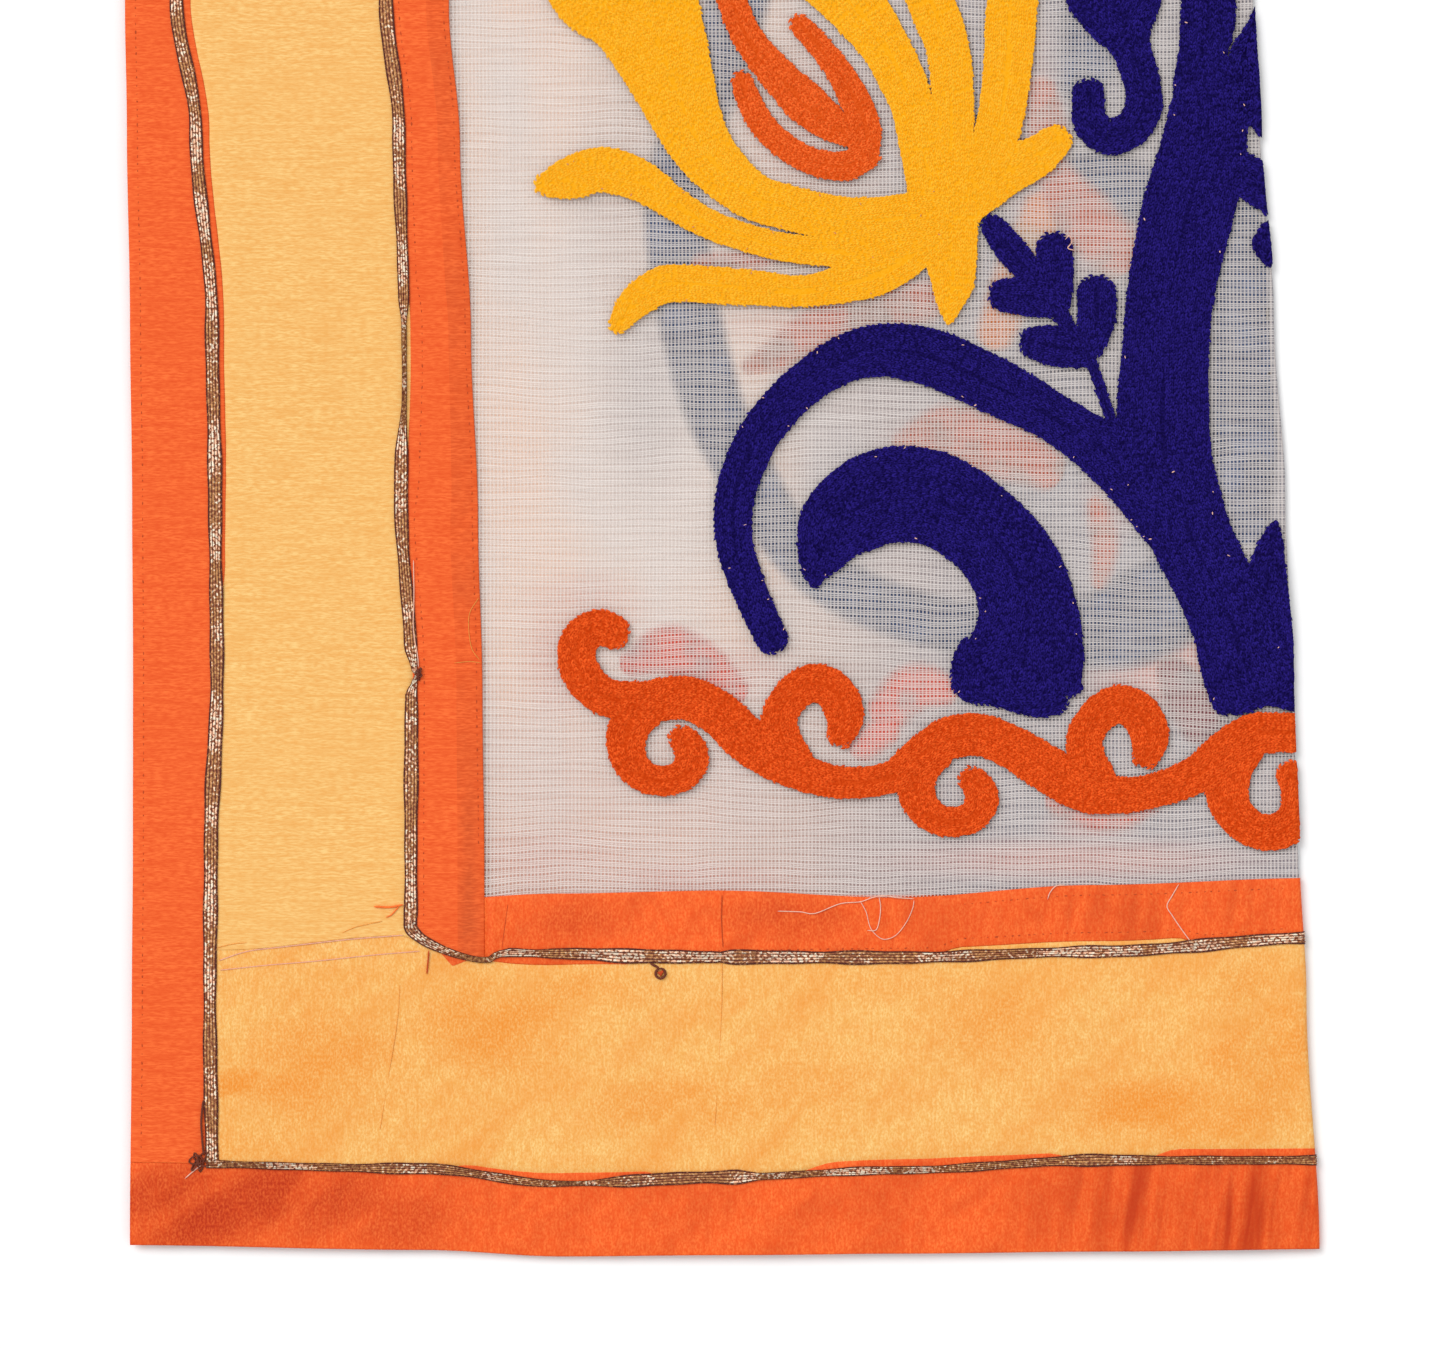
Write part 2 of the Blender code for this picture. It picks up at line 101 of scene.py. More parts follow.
def readTable(table, column, at):
    # a column of a table, smooth between its rows
    stops = table[:, 0]
    at = np.clip(at, stops[0], stops[-1])
    k = np.clip(np.searchsorted(stops, at, side="right") - 1, 0, len(stops) - 2)
    share = eased((at - stops[k]) / (stops[k + 1] - stops[k]))
    return table[k, column] + (table[k + 1, column] - table[k, column]) * share


def fromEnd(d):
    # distance to the nearer end
    return np.minimum(d, cloth["length"] - d)


def sideLine(column, d):
    return readTable(sideLines, column, fromEnd(np.asarray(d, float)))


def endLine(column, x, far=False):
    d = readTable(endLines, column, np.asarray(x, float))
    return cloth["length"] - d if far else d


def foldCentre(d):
    return sideLine(foldLine, d) - cloth["foldRadius"]


def clothHeight(x, d):
    # upper face of the front half, as the CAD has it
    ease = eased(np.clip((foldCentre(d) - x) / cloth["foldReach"], 0, 1))
    turn = math.tau * d / cloth["waveLength"]
    turn = turn + cloth["waveSkew"] * np.sin(x / cloth["waveSkewLength"])
    wave = cloth["waveHeight"] * (0.5 + 0.5 * np.sin(turn))
    hem = np.maximum(fromEnd(d), 0)
    ruffle = 0.5 + 0.5 * np.sin(math.tau * x / cloth["hemWaveLength"] + 1)
    wave = wave + cloth["hemWaveHeight"] * ruffle * np.exp(-hem / cloth["hemWaveReach"])
    atFold = 2 * cloth["foldRadius"]
    return atFold + (cloth["topOfFront"] - atFold + wave) * ease


def thinAtFold(x, d, out):
    # what lies on the cloth is pressed thin where it goes round the fold
    share = np.clip((x - foldCentre(d)) / wool["wrapEase"] + 0.6, 0, 1)
    return out * (1 - (1 - wool["wrapThin"]) * share)


def layCloth(x, d, out=0.0):
    # flat cut to metres: out is how far a point stands off the cloth's outer face
    x, d, out = np.broadcast_arrays(*(np.asarray(v, float) for v in (x, d, out)))
    radius = cloth["foldRadius"]
    centre = foldCentre(d)
    turn = np.clip((x - centre) / radius, 0, math.pi)
    beyond = np.maximum(x - centre - math.pi * radius, 0)
    front = np.minimum(x, centre)
    acrossX = front + (radius + out) * np.sin(turn) - beyond
    height = clothHeight(front, d) + (radius + out) * (np.cos(turn) - 1) + out
    return np.stack([acrossX, d - cloth["length"] / 2, height], -1) / 1000


# Creases pressed or pulled into the silk: x and d of both ends, depth and half width.
# A negative depth is a trough, a positive one a ridge.
creases = (
    (-129, 106, -137, 48, -0.30, 1.1),
    (0, 116, -3, 48, -0.30, 0.9),
    (-30, 118, -60, 40, 0.35, 14),
    (60, 112, 96, 44, 0.45, 18),
    (150, 116, 120, 50, 0.40, 16),
    (186, 118, 214, 44, 0.45, 12),
    (210, 118, 232, 52, -0.40, 7),
    (-190, 110, -150, 50, 0.40, 15),
    (-100, 108, -84, 60, -0.35, 9),
    (-218, 30, -206, 4, -0.5, 5),
    (-228, 28, -226, 4, 0.4, 6),
    (-182, 28, -174, 4, 0.35, 6),
    (-120, 26, -112, 4, 0.30, 8),
    (-52, 24, -40, 2, 0.30, 7),
    (18, 26, 26, 2, 0.25, 8),
    (104, 30, 112, 2, 0.35, 8),
    (152, 32, 158, 2, -0.45, 5),
    (170, 32, 176, 2, 0.45, 5),
    (188, 33, 192, 2, -0.40, 5),
    (206, 33, 208, 2, 0.40, 6),
    (224, 34, 226, 2, -0.35, 5),
    (66, 138, 72, 122, -0.35, 5),
    (86, 139, 90, 122, 0.35, 5),
    (130, 142, 136, 124, -0.35, 6),
    (152, 143, 158, 124, 0.40, 6),
    (174, 144, 178, 126, -0.35, 5),
    (-86, 138, -88, 120, -0.35, 1.6),
    (-62, 138, -58, 122, 0.30, 5),
    (-36, 139, -34, 122, -0.25, 6),
    (20, 138, 24, 122, 0.30, 6),
    (44, 138, 46, 122, -0.25, 6),
    (108, 141, 112, 124, 0.30, 5),
    (196, 145, 202, 128, 0.35, 5),
    (214, 146, 218, 128, -0.30, 5),
)


def creaseRelief(x, d):
    relief = np.zeros(np.broadcast(x, d).shape)
    near = fromEnd(d)
    for x0, d0, x1, d1, depth, half in creases:
        runX, runD = x1 - x0, d1 - d0
        length = runX * runX + runD * runD
        share = np.clip(((x - x0) * runX + (near - d0) * runD) / length, 0, 1)
        off = np.hypot(x - x0 - share * runX, near - d0 - share * runD)
        taper = 1 - 0.6 * np.abs(2 * share - 1) ** 3
        relief = relief + depth * taper * np.exp(-(off / half) ** 2)
    return relief


# Meshes


def smoothStroke(rows, step, capped=True):
    # points along a path with a third value each, rounded off at both ends if capped
    points = [Vector(row) for row in rows]
    points = [2 * points[0] - points[1]] + points + [2 * points[-1] - points[-2]]
    line = []
    for a, b, c, e in zip(points, points[1:], points[2:], points[3:]):
        count = max(1, round((c.xy - b.xy).length / step))
        for k in range(count):
            t = k / count
            line.append(0.5 * (2 * b + (c - a) * t + (2 * a - 5 * b + 4 * c - e) * t * t
                               + (3 * b - a - 3 * c + e) * t * t * t))
    line.append(points[-2])
    line = np.array([tuple(p) for p in line])
    if not capped:
        return line
    caps = []
    for end, inner in ((0, 1), (-1, -2)):
        way = line[end, :2] - line[inner, :2]
        way = way / np.linalg.norm(way)
        half = line[end, 2] / 2
        reach = min(0.8 * half, 6.5)
        turns = np.linspace(0, 1, max(2, round(reach / step) + 1))[1:]
        caps.append(np.array([
            (*(line[end, :2] + way * reach * t), line[end, 2] * math.sqrt(max(0.0, 1 - t * t))) for t in turns
        ]))
    return np.concatenate([caps[0][::-1], line, caps[1]])


def travelAlong(path):
    # length of the path up to each of its points
    return np.concatenate([[0], np.cumsum(np.linalg.norm(np.diff(path, axis=0), axis=1))])


def strokeAcross(line):
    way = np.gradient(line[:, :2], axis=0)
    way = way / np.maximum(np.linalg.norm(way, axis=1, keepdims=True), 1e-9)
    return way, np.stack([-way[:, 1], way[:, 0]], -1)


def placeInScene(name, data, location=(0, 0, 0)):
    thing = bpy.data.objects.new(name, data)
    thing.location = location
    bpy.context.scene.collection.objects.link(thing)
    return thing


def newPiece(name, mesh, finishes, slot, replaced=()):
    for finish in finishes:
        mesh.materials.append(finish)
    piece = placeInScene(name, mesh)
    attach(piece, "root")
    if replaced:
        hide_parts(*replaced)
    return piece


def meshFrom(name, points, faces):
    mesh = bpy.data.meshes.new(name)
    mesh.from_pydata(points, [], faces)
    mesh.shade_smooth()
    return mesh


def addShares(mesh, name, values):
    # a value for each point that a finish reads by name
    mesh.attributes.new(name, "FLOAT", "POINT").data.foreach_set("value", values)


def gridFaces(shape, start=0):
    index = start + np.arange(shape[0] * shape[1]).reshape(shape)
    return np.stack([index[:-1, :-1], index[1:, :-1], index[1:, 1:], index[:-1, 1:]], -1).reshape(-1, 4)


def gridMesh(name, x, d, out):
    # a sheet from grids of cut coordinates, columns first
    return meshFrom(name, layCloth(x, d, out).reshape(-1, 3), gridFaces(x.shape))


def thicken(piece, wall):
    solid = piece.modifiers.new("Thickness", "SOLIDIFY")
    solid.thickness = wall / 1000
    solid.offset = -1


# Materials


def hexColour(text):
    parts = [int(text[k:k + 2], 16) / 255 for k in (1, 3, 5)]
    return (*(p / 12.92 if p <= 0.04045 else ((p + 0.055) / 1.055) ** 2.4 for p in parts), 1.0)


def addNode(tree, kind, inputs=(), **settings):
    node = tree.nodes.new(kind)
    for name, value in settings.items():
        setattr(node, name, value)
    for name, value in dict(inputs).items():
        if isinstance(value, bpy.types.NodeSocket):
            tree.links.new(value, node.inputs[name])
        else:
            node.inputs[name].default_value = value
    return node


def newFinish(name, roughness, metallic=0.0, specular=0.5):
    finish = bpy.data.materials.new(name)
    finish.use_nodes = True
    tree = finish.node_tree
    shader = tree.nodes["Principled BSDF"]
    shader.inputs["Roughness"].default_value = roughness
    shader.inputs["Metallic"].default_value = metallic
    shader.inputs["Specular IOR Level"].default_value = specular
    return finish, tree, shader


def noiseAt(tree, sizes, detail=2.0, distortion=0.0):
    # noise with grains of these sizes in mm along x, y and, where given, z;
    # a size with odd decimals divides a metre into a whole number of grains
    counts = [1000 / size for size in (*sizes, 1000)[:3]]
    place = addNode(tree, "ShaderNodeTexCoord").outputs["Object"]
    fitted = addNode(tree, "ShaderNodeMapping", {"Vector": place, "Scale": counts}).outputs[0]
    return addNode(tree, "ShaderNodeTexNoise", {
        "Vector": fitted, "Scale": 1.0, "Detail": detail, "Distortion": distortion,
    }).outputs["Fac"]


def streakAt(tree, angle, reach, width):
    # soft streaks at an angle from the x axis, with their length and width in mm
    place = addNode(tree, "ShaderNodeTexCoord").outputs["Object"]
    turned = addNode(tree, "ShaderNodeMapping", {
        "Vector": place, "Rotation": (0, 0, angle), "Scale": (reach / 1000, width / 1000, 1),
    }, vector_type="TEXTURE").outputs[0]
    return addNode(tree, "ShaderNodeTexNoise", {"Vector": turned, "Scale": 1.0, "Detail": 3.0}).outputs["Fac"]


def between(tree, value, low, high, toLow=0.0, toHigh=1.0):
    return addNode(tree, "ShaderNodeMapRange", {
        "Value": value, "From Min": low, "From Max": high, "To Min": toLow, "To Max": toHigh,
    }, interpolation_type="SMOOTHSTEP").outputs[0]


def mixed(tree, share, first, second):
    # a colour is hex text or comes from another node
    first, second = (hexColour(tone) if isinstance(tone, str) else tone for tone in (first, second))
    return addNode(tree, "ShaderNodeMix", {0: share, 6: first, 7: second}, data_type="RGBA").outputs[2]


def maths(tree, operation, first, second=0.0):
    return addNode(tree, "ShaderNodeMath", {0: first, 1: second}, operation=operation).outputs[0]


def colourFrom(tree, shader, tone):
    tree.links.new(tone, shader.inputs["Base Color"])


def bumpFrom(tree, shader, height, depth):
    # depth in mm
    bump = addNode(tree, "ShaderNodeBump", {"Height": height, "Distance": depth / 1000, "Strength": 1.0})
    tree.links.new(bump.outputs[0], shader.inputs["Normal"])


def patchesOf(tree, patches):
    # soft round patches, each row x, d, reach across, reach along and share, in mm;
    # the far end has them too
    place = addNode(tree, "ShaderNodeTexCoord").outputs["Object"]
    axes = addNode(tree, "ShaderNodeSeparateXYZ", {0: place})
    inwards = maths(tree, "SUBTRACT", cloth["length"] / 2000, maths(tree, "ABSOLUTE", axes.outputs[1]))
    flat = addNode(tree, "ShaderNodeCombineXYZ", {0: axes.outputs[0], 1: inwards}).outputs[0]
    total = None
    for x, d, reachX, reachD, share in patches:
        middle, reach = (x / 1000, d / 1000, 0), (1000 / reachX, 1000 / reachD, 0)
        apart = addNode(tree, "ShaderNodeVectorMath", {0: flat, 1: middle}, operation="SUBTRACT").outputs[0]
        scaled = addNode(tree, "ShaderNodeVectorMath", {0: apart, 1: reach}, operation="MULTIPLY").outputs[0]
        length = addNode(tree, "ShaderNodeVectorMath", {0: scaled}, operation="LENGTH").outputs["Value"]
        patch = between(tree, length, 0.15, 1.0, share, 0.0)
        total = patch if total is None else maths(tree, "MAXIMUM", total, patch)
    return total


netWeave = {
    "acrossPitch": 1.48,     # mm between the lengthwise threads
    "alongPitch": 2.8,       # mm between the open rows
    "ripple": ((38.5, 25), 1.0, 9.0),       # how the rows sway: size in mm, detail and reach
    "drift": ((111, 71.4), 1.0, 16.0),
    "lean": ((33.3, 111), 2.0, 5.0),        # and the lengthwise threads
    "rowBands": (33.3, 2.5),                # rows more or less open, size in mm
    "threadBands": (3.03, 125),
    "thread": "#F0E8E3",
    "threadDull": "#DDD1CB",
    "hides": 0.62,           # how far a thread hides what lies below
    "gapHides": 0.04,
    "relief": 0.08,
    "underPlain": "#F4D6C2",
    "underPale": "#E8DAD2",
    "underLowShade": "#D8A692",
    "underWork": "#8A8B98",
    "underBlush": "#D49084",
    "underCloud": (62.5, 143),     # mm
    "workAcross": (-0.03, 0.12),   # metres, where wool below greys the net
    "workAlong": (0.45, 0.62),
    "lowShadeAlong": (0.86, 1.04),
}


# where the work of the under half colours the net around it
blushPatches = (
    (40, 450, 40, 40, 0.45), (122, 452, 20, 60, 0.5), (186, 232, 60, 26, 0.95), (147, 169, 26, 9, 0.5),
    (-64, 238, 22, 32, 0.5), (10, 232, 26, 16, 0.4), (156, 300, 16, 22, 0.4), (96, 322, 44, 14, 0.5),
    (34, 372, 50, 18, 0.3), (-10, 148, 60, 10, 0.5), (152, 402, 30, 20, 0.4),
    (-56, 256, 34, 22, 0.35), (140, 156, 100, 12, 0.75), (-70, 156, 50, 18, 0.3),
)
greyPatches = (
    (150, 478, 34, 50, 0.6), (-8, 470, 22, 60, 0.35), (56, 300, 60, 40, 0.25), (200, 300, 26, 60, 0.35),
    (110, 232, 60, 18, 0.3), (-34, 430, 36, 90, 0.3), (-30, 350, 30, 70, 0.35),
)


def swayOf(tree, sizes, detail, reach):
    # noise that swings to both sides of zero
    return maths(tree, "MULTIPLY", maths(tree, "SUBTRACT", noiseAt(tree, sizes, detail), 0.5), reach)


def cottonNet(name, opaque):
    # cotton net in a loose plain weave, soft and matt: open rows between closer ones,
    # through which the layer below shows; drawn a little coarser than its finest threads
    finish, tree, shader = newFinish(name, 0.9, specular=0.1)
    place = addNode(tree, "ShaderNodeTexCoord").outputs["Object"]
    axes = addNode(tree, "ShaderNodeSeparateXYZ", {0: place})
    sway = maths(tree, "ADD", swayOf(tree, *netWeave["ripple"]), swayOf(tree, *netWeave["drift"]))
    along = maths(tree, "MULTIPLY", axes.outputs[1], math.tau * 1000 / netWeave["alongPitch"])
    along = maths(tree, "ADD", along, sway)
    across = maths(tree, "MULTIPLY", axes.outputs[0], math.tau * 1000 / netWeave["acrossPitch"])
    row = maths(tree, "SINE", along)
    uneven = maths(tree, "MULTIPLY", maths(tree, "SINE", maths(tree, "ADD", along, math.pi / 2)), -0.5)
    three = maths(tree, "MULTIPLY", maths(tree, "ADD", along, uneven), 3.0)
    fineRow = maths(tree, "SINE", maths(tree, "ADD", three, math.pi))
    column = maths(tree, "SINE", maths(tree, "ADD", across, swayOf(tree, *netWeave["lean"])))
    band = between(tree, noiseAt(tree, netWeave["rowBands"], 2.0), 0.3, 0.7, -0.45, 0.45)
    stripe = between(tree, noiseAt(tree, netWeave["threadBands"], 1.0), 0.3, 0.7, -0.25, 0.25)
    lit = between(tree, maths(tree, "ADD", fineRow, band), -0.1, 0.7)
    close = between(tree, maths(tree, "ADD", row, band), -0.6, 0.2, 0.0, 0.35)
    columnThread = between(tree, maths(tree, "ADD", column, stripe), -0.25, 0.45, 0.0, 0.9)
    cover = maths(tree, "MAXIMUM", maths(tree, "MAXIMUM", lit, close), columnThread)
    if opaque:
        fromMiddle = maths(tree, "ABSOLUTE", axes.outputs[1])
        # painted shade: the under half darker towards each end
        low = between(tree, fromMiddle, *netWeave["lowShadeAlong"], 0.0, 0.8)
        work = maths(tree, "MULTIPLY", between(tree, fromMiddle, *netWeave["workAlong"]),
                     between(tree, axes.outputs[0], *netWeave["workAcross"], 0.0, 0.9))
        cloud = between(tree, noiseAt(tree, netWeave["underCloud"], 2.0), 0.4, 0.62)
        tone = mixed(tree, cloud, netWeave["underPlain"], netWeave["underPale"])
        tone = mixed(tree, low, tone, netWeave["underLowShade"])
        tone = mixed(tree, work, tone, netWeave["underWork"])
        tone = mixed(tree, patchesOf(tree, blushPatches), tone, netWeave["underBlush"])
        tone = mixed(tree, patchesOf(tree, greyPatches), tone, netWeave["underWork"])
        tone = mixed(tree, maths(tree, "MULTIPLY", cover, 0.12), tone, "#FFFFFF")
    else:
        tone = mixed(tree, lit, netWeave["threadDull"], netWeave["thread"])
        hides = between(tree, cover, 0.0, 1.0, netWeave["gapHides"], netWeave["hides"])
        tree.links.new(hides, shader.inputs["Alpha"])
    colourFrom(tree, shader, tone)
    bumpFrom(tree, shader, cover, netWeave["relief"])
    return finish


# sizes in mm along x and y, by the way the weft runs; mottle, cloud, sheen and the two streaks shape the
# painted sheen and shade
silkGrainAndSheen = {
    "slub": {"across": (16.667, 1.6129), "along": (1.4286, 6.25)},
    "thread": {"across": (3.0303, 0.66667), "along": (0.76923, 1.3333)},
    "mottle": (4.7619, 5.8824),
    "cloud": (71.43, 33.333),
    "sheen": (0.75, 50, 16),     # angle, length and width of a streak
    "patchStreak": (0.7, 50, 17),
    "foldStreak": (1.43, 80, 8.5),
    "relief": 0.1,
}


def artSilk(name, pale, deep, sheenShade, weft, sheenShadeShare, patches=(), folds=()):
    # plain woven art silk: fine slubs along the weft, a painted mottled satin sheen, streaky patches of
    # painted shade where the cloth turns from the light, and stripes of painted shade in its folds
    finish, tree, shader = newFinish(name, 0.58, specular=0.2)
    slub = noiseAt(tree, silkGrainAndSheen["slub"][weft], 3.0)
    thread = noiseAt(tree, silkGrainAndSheen["thread"][weft], 3.0)
    mottle = noiseAt(tree, silkGrainAndSheen["mottle"], 3.0)
    if weft == "across":
        cloud = noiseAt(tree, silkGrainAndSheen["cloud"], 4.0, 0.3)
    else:
        cloud = streakAt(tree, *silkGrainAndSheen["sheen"])
    tone = mixed(tree, between(tree, slub, 0.36, 0.7, 0.0, 0.6), pale, deep)
    tone = mixed(tree, between(tree, thread, 0.32, 0.68, 0.0, 0.8), tone, deep)
    # painted sheen and shade: mottle, then clouds or streaks, patches and fold stripes, all mixed towards the
    # darker sheen colour
    tone = mixed(tree, between(tree, mottle, 0.35, 0.7, 0.0, sheenShadeShare * 0.5), tone, sheenShade)
    share = between(tree, cloud, 0.35, 0.75, 0.0, sheenShadeShare)
    if patches:
        streak = between(tree, streakAt(tree, *silkGrainAndSheen["patchStreak"]), 0.3, 0.62, 0.35, 0.9)
        uneven = maths(tree, "MULTIPLY", streak, between(tree, thread, 0.3, 0.7, 0.65, 1.2))
        share = maths(tree, "MAXIMUM", share, maths(tree, "MULTIPLY", patchesOf(tree, patches), uneven))
    if folds:
        stripes = between(tree, streakAt(tree, *silkGrainAndSheen["foldStreak"]), 0.34, 0.66, 0.16, 0.96)
        share = maths(tree, "MAXIMUM", share, maths(tree, "MULTIPLY", patchesOf(tree, folds), stripes))
    colourFrom(tree, shader, mixed(tree, share, tone, sheenShade))
    relief = maths(tree, "ADD", thread, maths(tree, "MULTIPLY", slub, 0.7))
    bumpFrom(tree, shader, relief, silkGrainAndSheen["relief"])
    return finish


def woolYarn(name, lit, shade):
    # soft spun wool in chain stitch: matt and fuzzy, each loop a little lighter or darker at random,
    # painted lighter on its top and darker at its foot, with painted shade on the ground between loops;
    # its fibres are finer than a pixel, so they are drawn 0.4 to 0.7 mm wide
    finish, tree, shader = newFinish(name, 0.95, specular=0.04)
    loop = addNode(tree, "ShaderNodeAttribute", attribute_name="loop").outputs["Fac"]
    fuzz = between(tree, noiseAt(tree, (0.71429, 0.71429, 2.5), 2.0), 0.3, 0.7, -0.22, 0.22)
    colourFrom(tree, shader, mixed(tree, maths(tree, "ADD", loop, fuzz), shade, lit))
    bumpFrom(tree, shader, noiseAt(tree, (0.41667, 0.41667, 1.1111), 2.0), 0.12)
    return finish


def blurredWool(name, colour, faded, shows):
    # wool of the under half, seen blurred: it fades out towards its edges
    finish, tree, shader = newFinish(name, 0.95, specular=0.02)
    patch = between(tree, noiseAt(tree, (16.667, 16.667), 2.0), 0.44, 0.7)
    colourFrom(tree, shader, mixed(tree, patch, colour, faded))
    inside = addNode(tree, "ShaderNodeAttribute", attribute_name="softness").outputs["Fac"]
    tree.links.new(maths(tree, "MULTIPLY", inside, shows), shader.inputs["Alpha"])
    return finish


def gotaStrand(name, worn):
    # metallic yarn gone to old gold: dull bronze strands with clusters of painted pale and pink glints,
    # and maroon where a share of the strands has worn down to its core
    finish, tree, shader = newFinish(name, 0.42, metallic=0.15, specular=0.4)
    glint = noiseAt(tree, (1.17647, 1.17647), 1.0)
    cluster = between(tree, noiseAt(tree, (18.182, 18.182), 2.0), 0.4, 0.6, -0.12, 0.1)
    tint = noiseAt(tree, (1.66667, 1.66667), 1.0)
    # painted highlight: the glints are pale and pink colour in clusters
    glintHighlight = mixed(tree, between(tree, tint, 0.42, 0.58), "#FFF0D6", "#FFC6A2")
    tone = mixed(tree, between(tree, glint, 0.38, 0.6), "#8C4C2C", "#CE945A")
    tone = mixed(tree, between(tree, maths(tree, "ADD", glint, cluster), 0.52, 0.6), tone, glintHighlight)
    if worn:
        core = between(tree, noiseAt(tree, (14.286, 1.92308), 2.0), 0.44, 0.56, 0.0, worn)
        tone = mixed(tree, core, tone, "#5E241C")
    colourFrom(tree, shader, tone)
    bumpFrom(tree, shader, glint, 0.15)
    return finish


def gotaEdge(name):
    # maroon twist along the gota, with bronze showing between its turns
    finish, tree, shader = newFinish(name, 0.6, specular=0.3)
    turn = between(tree, noiseAt(tree, (1.33333, 1.33333), 1.0), 0.54, 0.72)
    colourFrom(tree, shader, mixed(tree, turn, "#501A12", "#A06A42"))
    return finish


def plainThread(name, colour):
    # spun thread: faintly uneven along its length
    finish, tree, shader = newFinish(name, 0.7, specular=0.2)
    uneven = between(tree, noiseAt(tree, (1.11111, 1.11111, 3.3333), 1.0), 0.3, 0.7, 0.0, 0.18)
    colourFrom(tree, shader, mixed(tree, uneven, colour, "#3A2418"))
    return finish


# painted shade: where the end strips' sheen turns darker, where their folds are, and along the doubled hem
yellowSheenShade = (
    (-188, 66, 44, 12, 0.9), (-158, 72, 52, 44, 0.72), (-190, 36, 44, 22, 0.5), (-88, 90, 56, 34, 0.8),
    (-60, 104, 60, 16, 0.6), (-20, 58, 60, 22, 0.6), (36, 64, 40, 26, 0.5), (112, 92, 50, 34, 0.6),
    (180, 56, 80, 22, 0.9), (214, 84, 40, 50, 0.9), (60, 108, 60, 14, 0.4),
)
orangeSheenShade = (
    (-215, 16, 60, 30, 1.0), (-176, 22, 70, 30, 0.9), (-126, 12, 50, 22, 0.5), (27, 133, 40, 14, 0.6),
    (-60, 132, 40, 14, 0.4),
)
orangeFoldShade = (
    (166, 20, 50, 40, 0.9), (204, 14, 36, 44, 1.0), (230, 16, 20, 44, 0.8), (91, 133, 40, 24, 0.4),
    (156, 134, 50, 24, 0.5), (210, 136, 30, 24, 0.4), (130, 14, 30, 30, 0.4),
)
hemShade = ((-101, 120, 7, 60, 0.7), (-101, 175, 6, 40, 0.4))
yellowSideSilk = artSilk("Yellow art silk, weft across", "#F6CC82", "#E8A450", "#EEB262", "across", 0.3)
yellowEndSilk = artSilk("Yellow art silk, weft along", "#F8CE84", "#EAA44A", "#EA8A26", "along", 0.45,
                        yellowSheenShade)
orangeSideSilk = artSilk("Orange art silk, weft across", "#FC7434", "#E04C12", "#E85A20", "across", 0.3)
orangeFoldedSilk = artSilk("Orange art silk, doubled by its hem", "#FA6E30", "#D84A10", "#B84C20", "across",
                           0.2, hemShade)
orangeEndSilk = artSilk("Orange art silk, weft along", "#FF7A36", "#EC500E", "#B62E00", "along", 0.3,
                        orangeSheenShade, orangeFoldShade)
frontNet = cottonNet("Cotton net", False)
underNet = cottonNet("Cotton net of the under half", True)
yellowWool = woolYarn("Yellow wool yarn", "#FFC236", "#F2A40E")
blueWool = woolYarn("Blue wool yarn", "#2E2286", "#0D063A")
orangeWool = woolYarn("Orange wool yarn", "#FC6828", "#C03A08")
heartWool = woolYarn("Orange wool yarn of the heart", "#FF7634", "#CC480E")
blueUnder = blurredWool("Blue wool below the net", "#264068", "#46608A", 0.96)
redUnder = blurredWool("Red wool below the net", "#E2543C", "#B8706A", 0.96)
petalUnder = blurredWool("Petal wool below the net", "#DC6E50", "#B08478", 0.75)
dimUnder = blurredWool("Red wool in the fold's shade", "#8A444C", "#806068", 0.96)
goldUnder = blurredWool("Gold wool below the net", "#F89040", "#E0A878", 0.7)
strandFinish = gotaStrand("Gota strands", 0)
wornStrandFinish = gotaStrand("Gota strands, worn", 0.3)
edgeFinish = gotaEdge("Maroon gota edge")
knotFinish = plainThread("Brown knotted thread", "#6E3424")
stitchFinish = plainThread("Lockstitch thread", "#C2481C")
orangeThread = plainThread("Orange sewing thread", "#C2481C")
brightOrangeThread = plainThread("Bright orange loose thread", "#FF7830")
# painted shade laid as thin deeper yellow lines along folds and pressed creases
creaseShadeThread = plainThread("Painted shade in the yellow silk's folds and pressed lines", "#F09E44")
hairThread = plainThread("Fine gold thread", "#F0A24A")
seamThread = plainThread("Pink seam thread", "#F2B49A")
paleThread = plainThread("Pale loose thread", "#F2BEA8")
tanThread = plainThread("Tan thread in the yellow wool", "#D89468")
print("materials made")

# The net, one piece: front half, fold and under half
netPiece = {
    "under": 9.0,            # mm that the net runs in under the side silk
    "underEnds": 6.0,        # and under the end silk
    "frontStep": 10.0,
    "backStep": 30.0,
    "foldSteps": 7,
    "rows": 201,
    "rowsFrom": 139.0,       # d of the first row while the columns are placed
    "level": -0.75,          # below the front strips' upper face
    "backLevel": -0.55,
    "pucker": 0.12,
    "puckerAcross": 2.9,
    "puckerAlong": 4.3,
    "puckerDrift": 31.0,
    "calmAtFold": 8.0,       # no pucker this close to the fold
}


def frontColumns(step, left, d):
    # from a left line to the fold's centre, as shares so that every row fits
    centre = foldCentre(d)
    count = max(2, round(float(np.max(centre - left)) / step))
    return [left + (centre - left) * k / count for k in range(count + 1)]


def foldColumns(d):
    arc = math.pi * cloth["foldRadius"]
    return [foldCentre(d) + arc * k / netPiece["foldSteps"] for k in range(1, netPiece["foldSteps"] + 1)]


def backColumns(step, left, d):
    # from the fold's underside to the under half's open edge
    start = foldCentre(d) + math.pi * cloth["foldRadius"]
    reach = foldCentre(d) - left
    count = max(2, round(float(np.max(reach)) / step))
    return [start + reach * k / count for k in range(1, count + 1)]


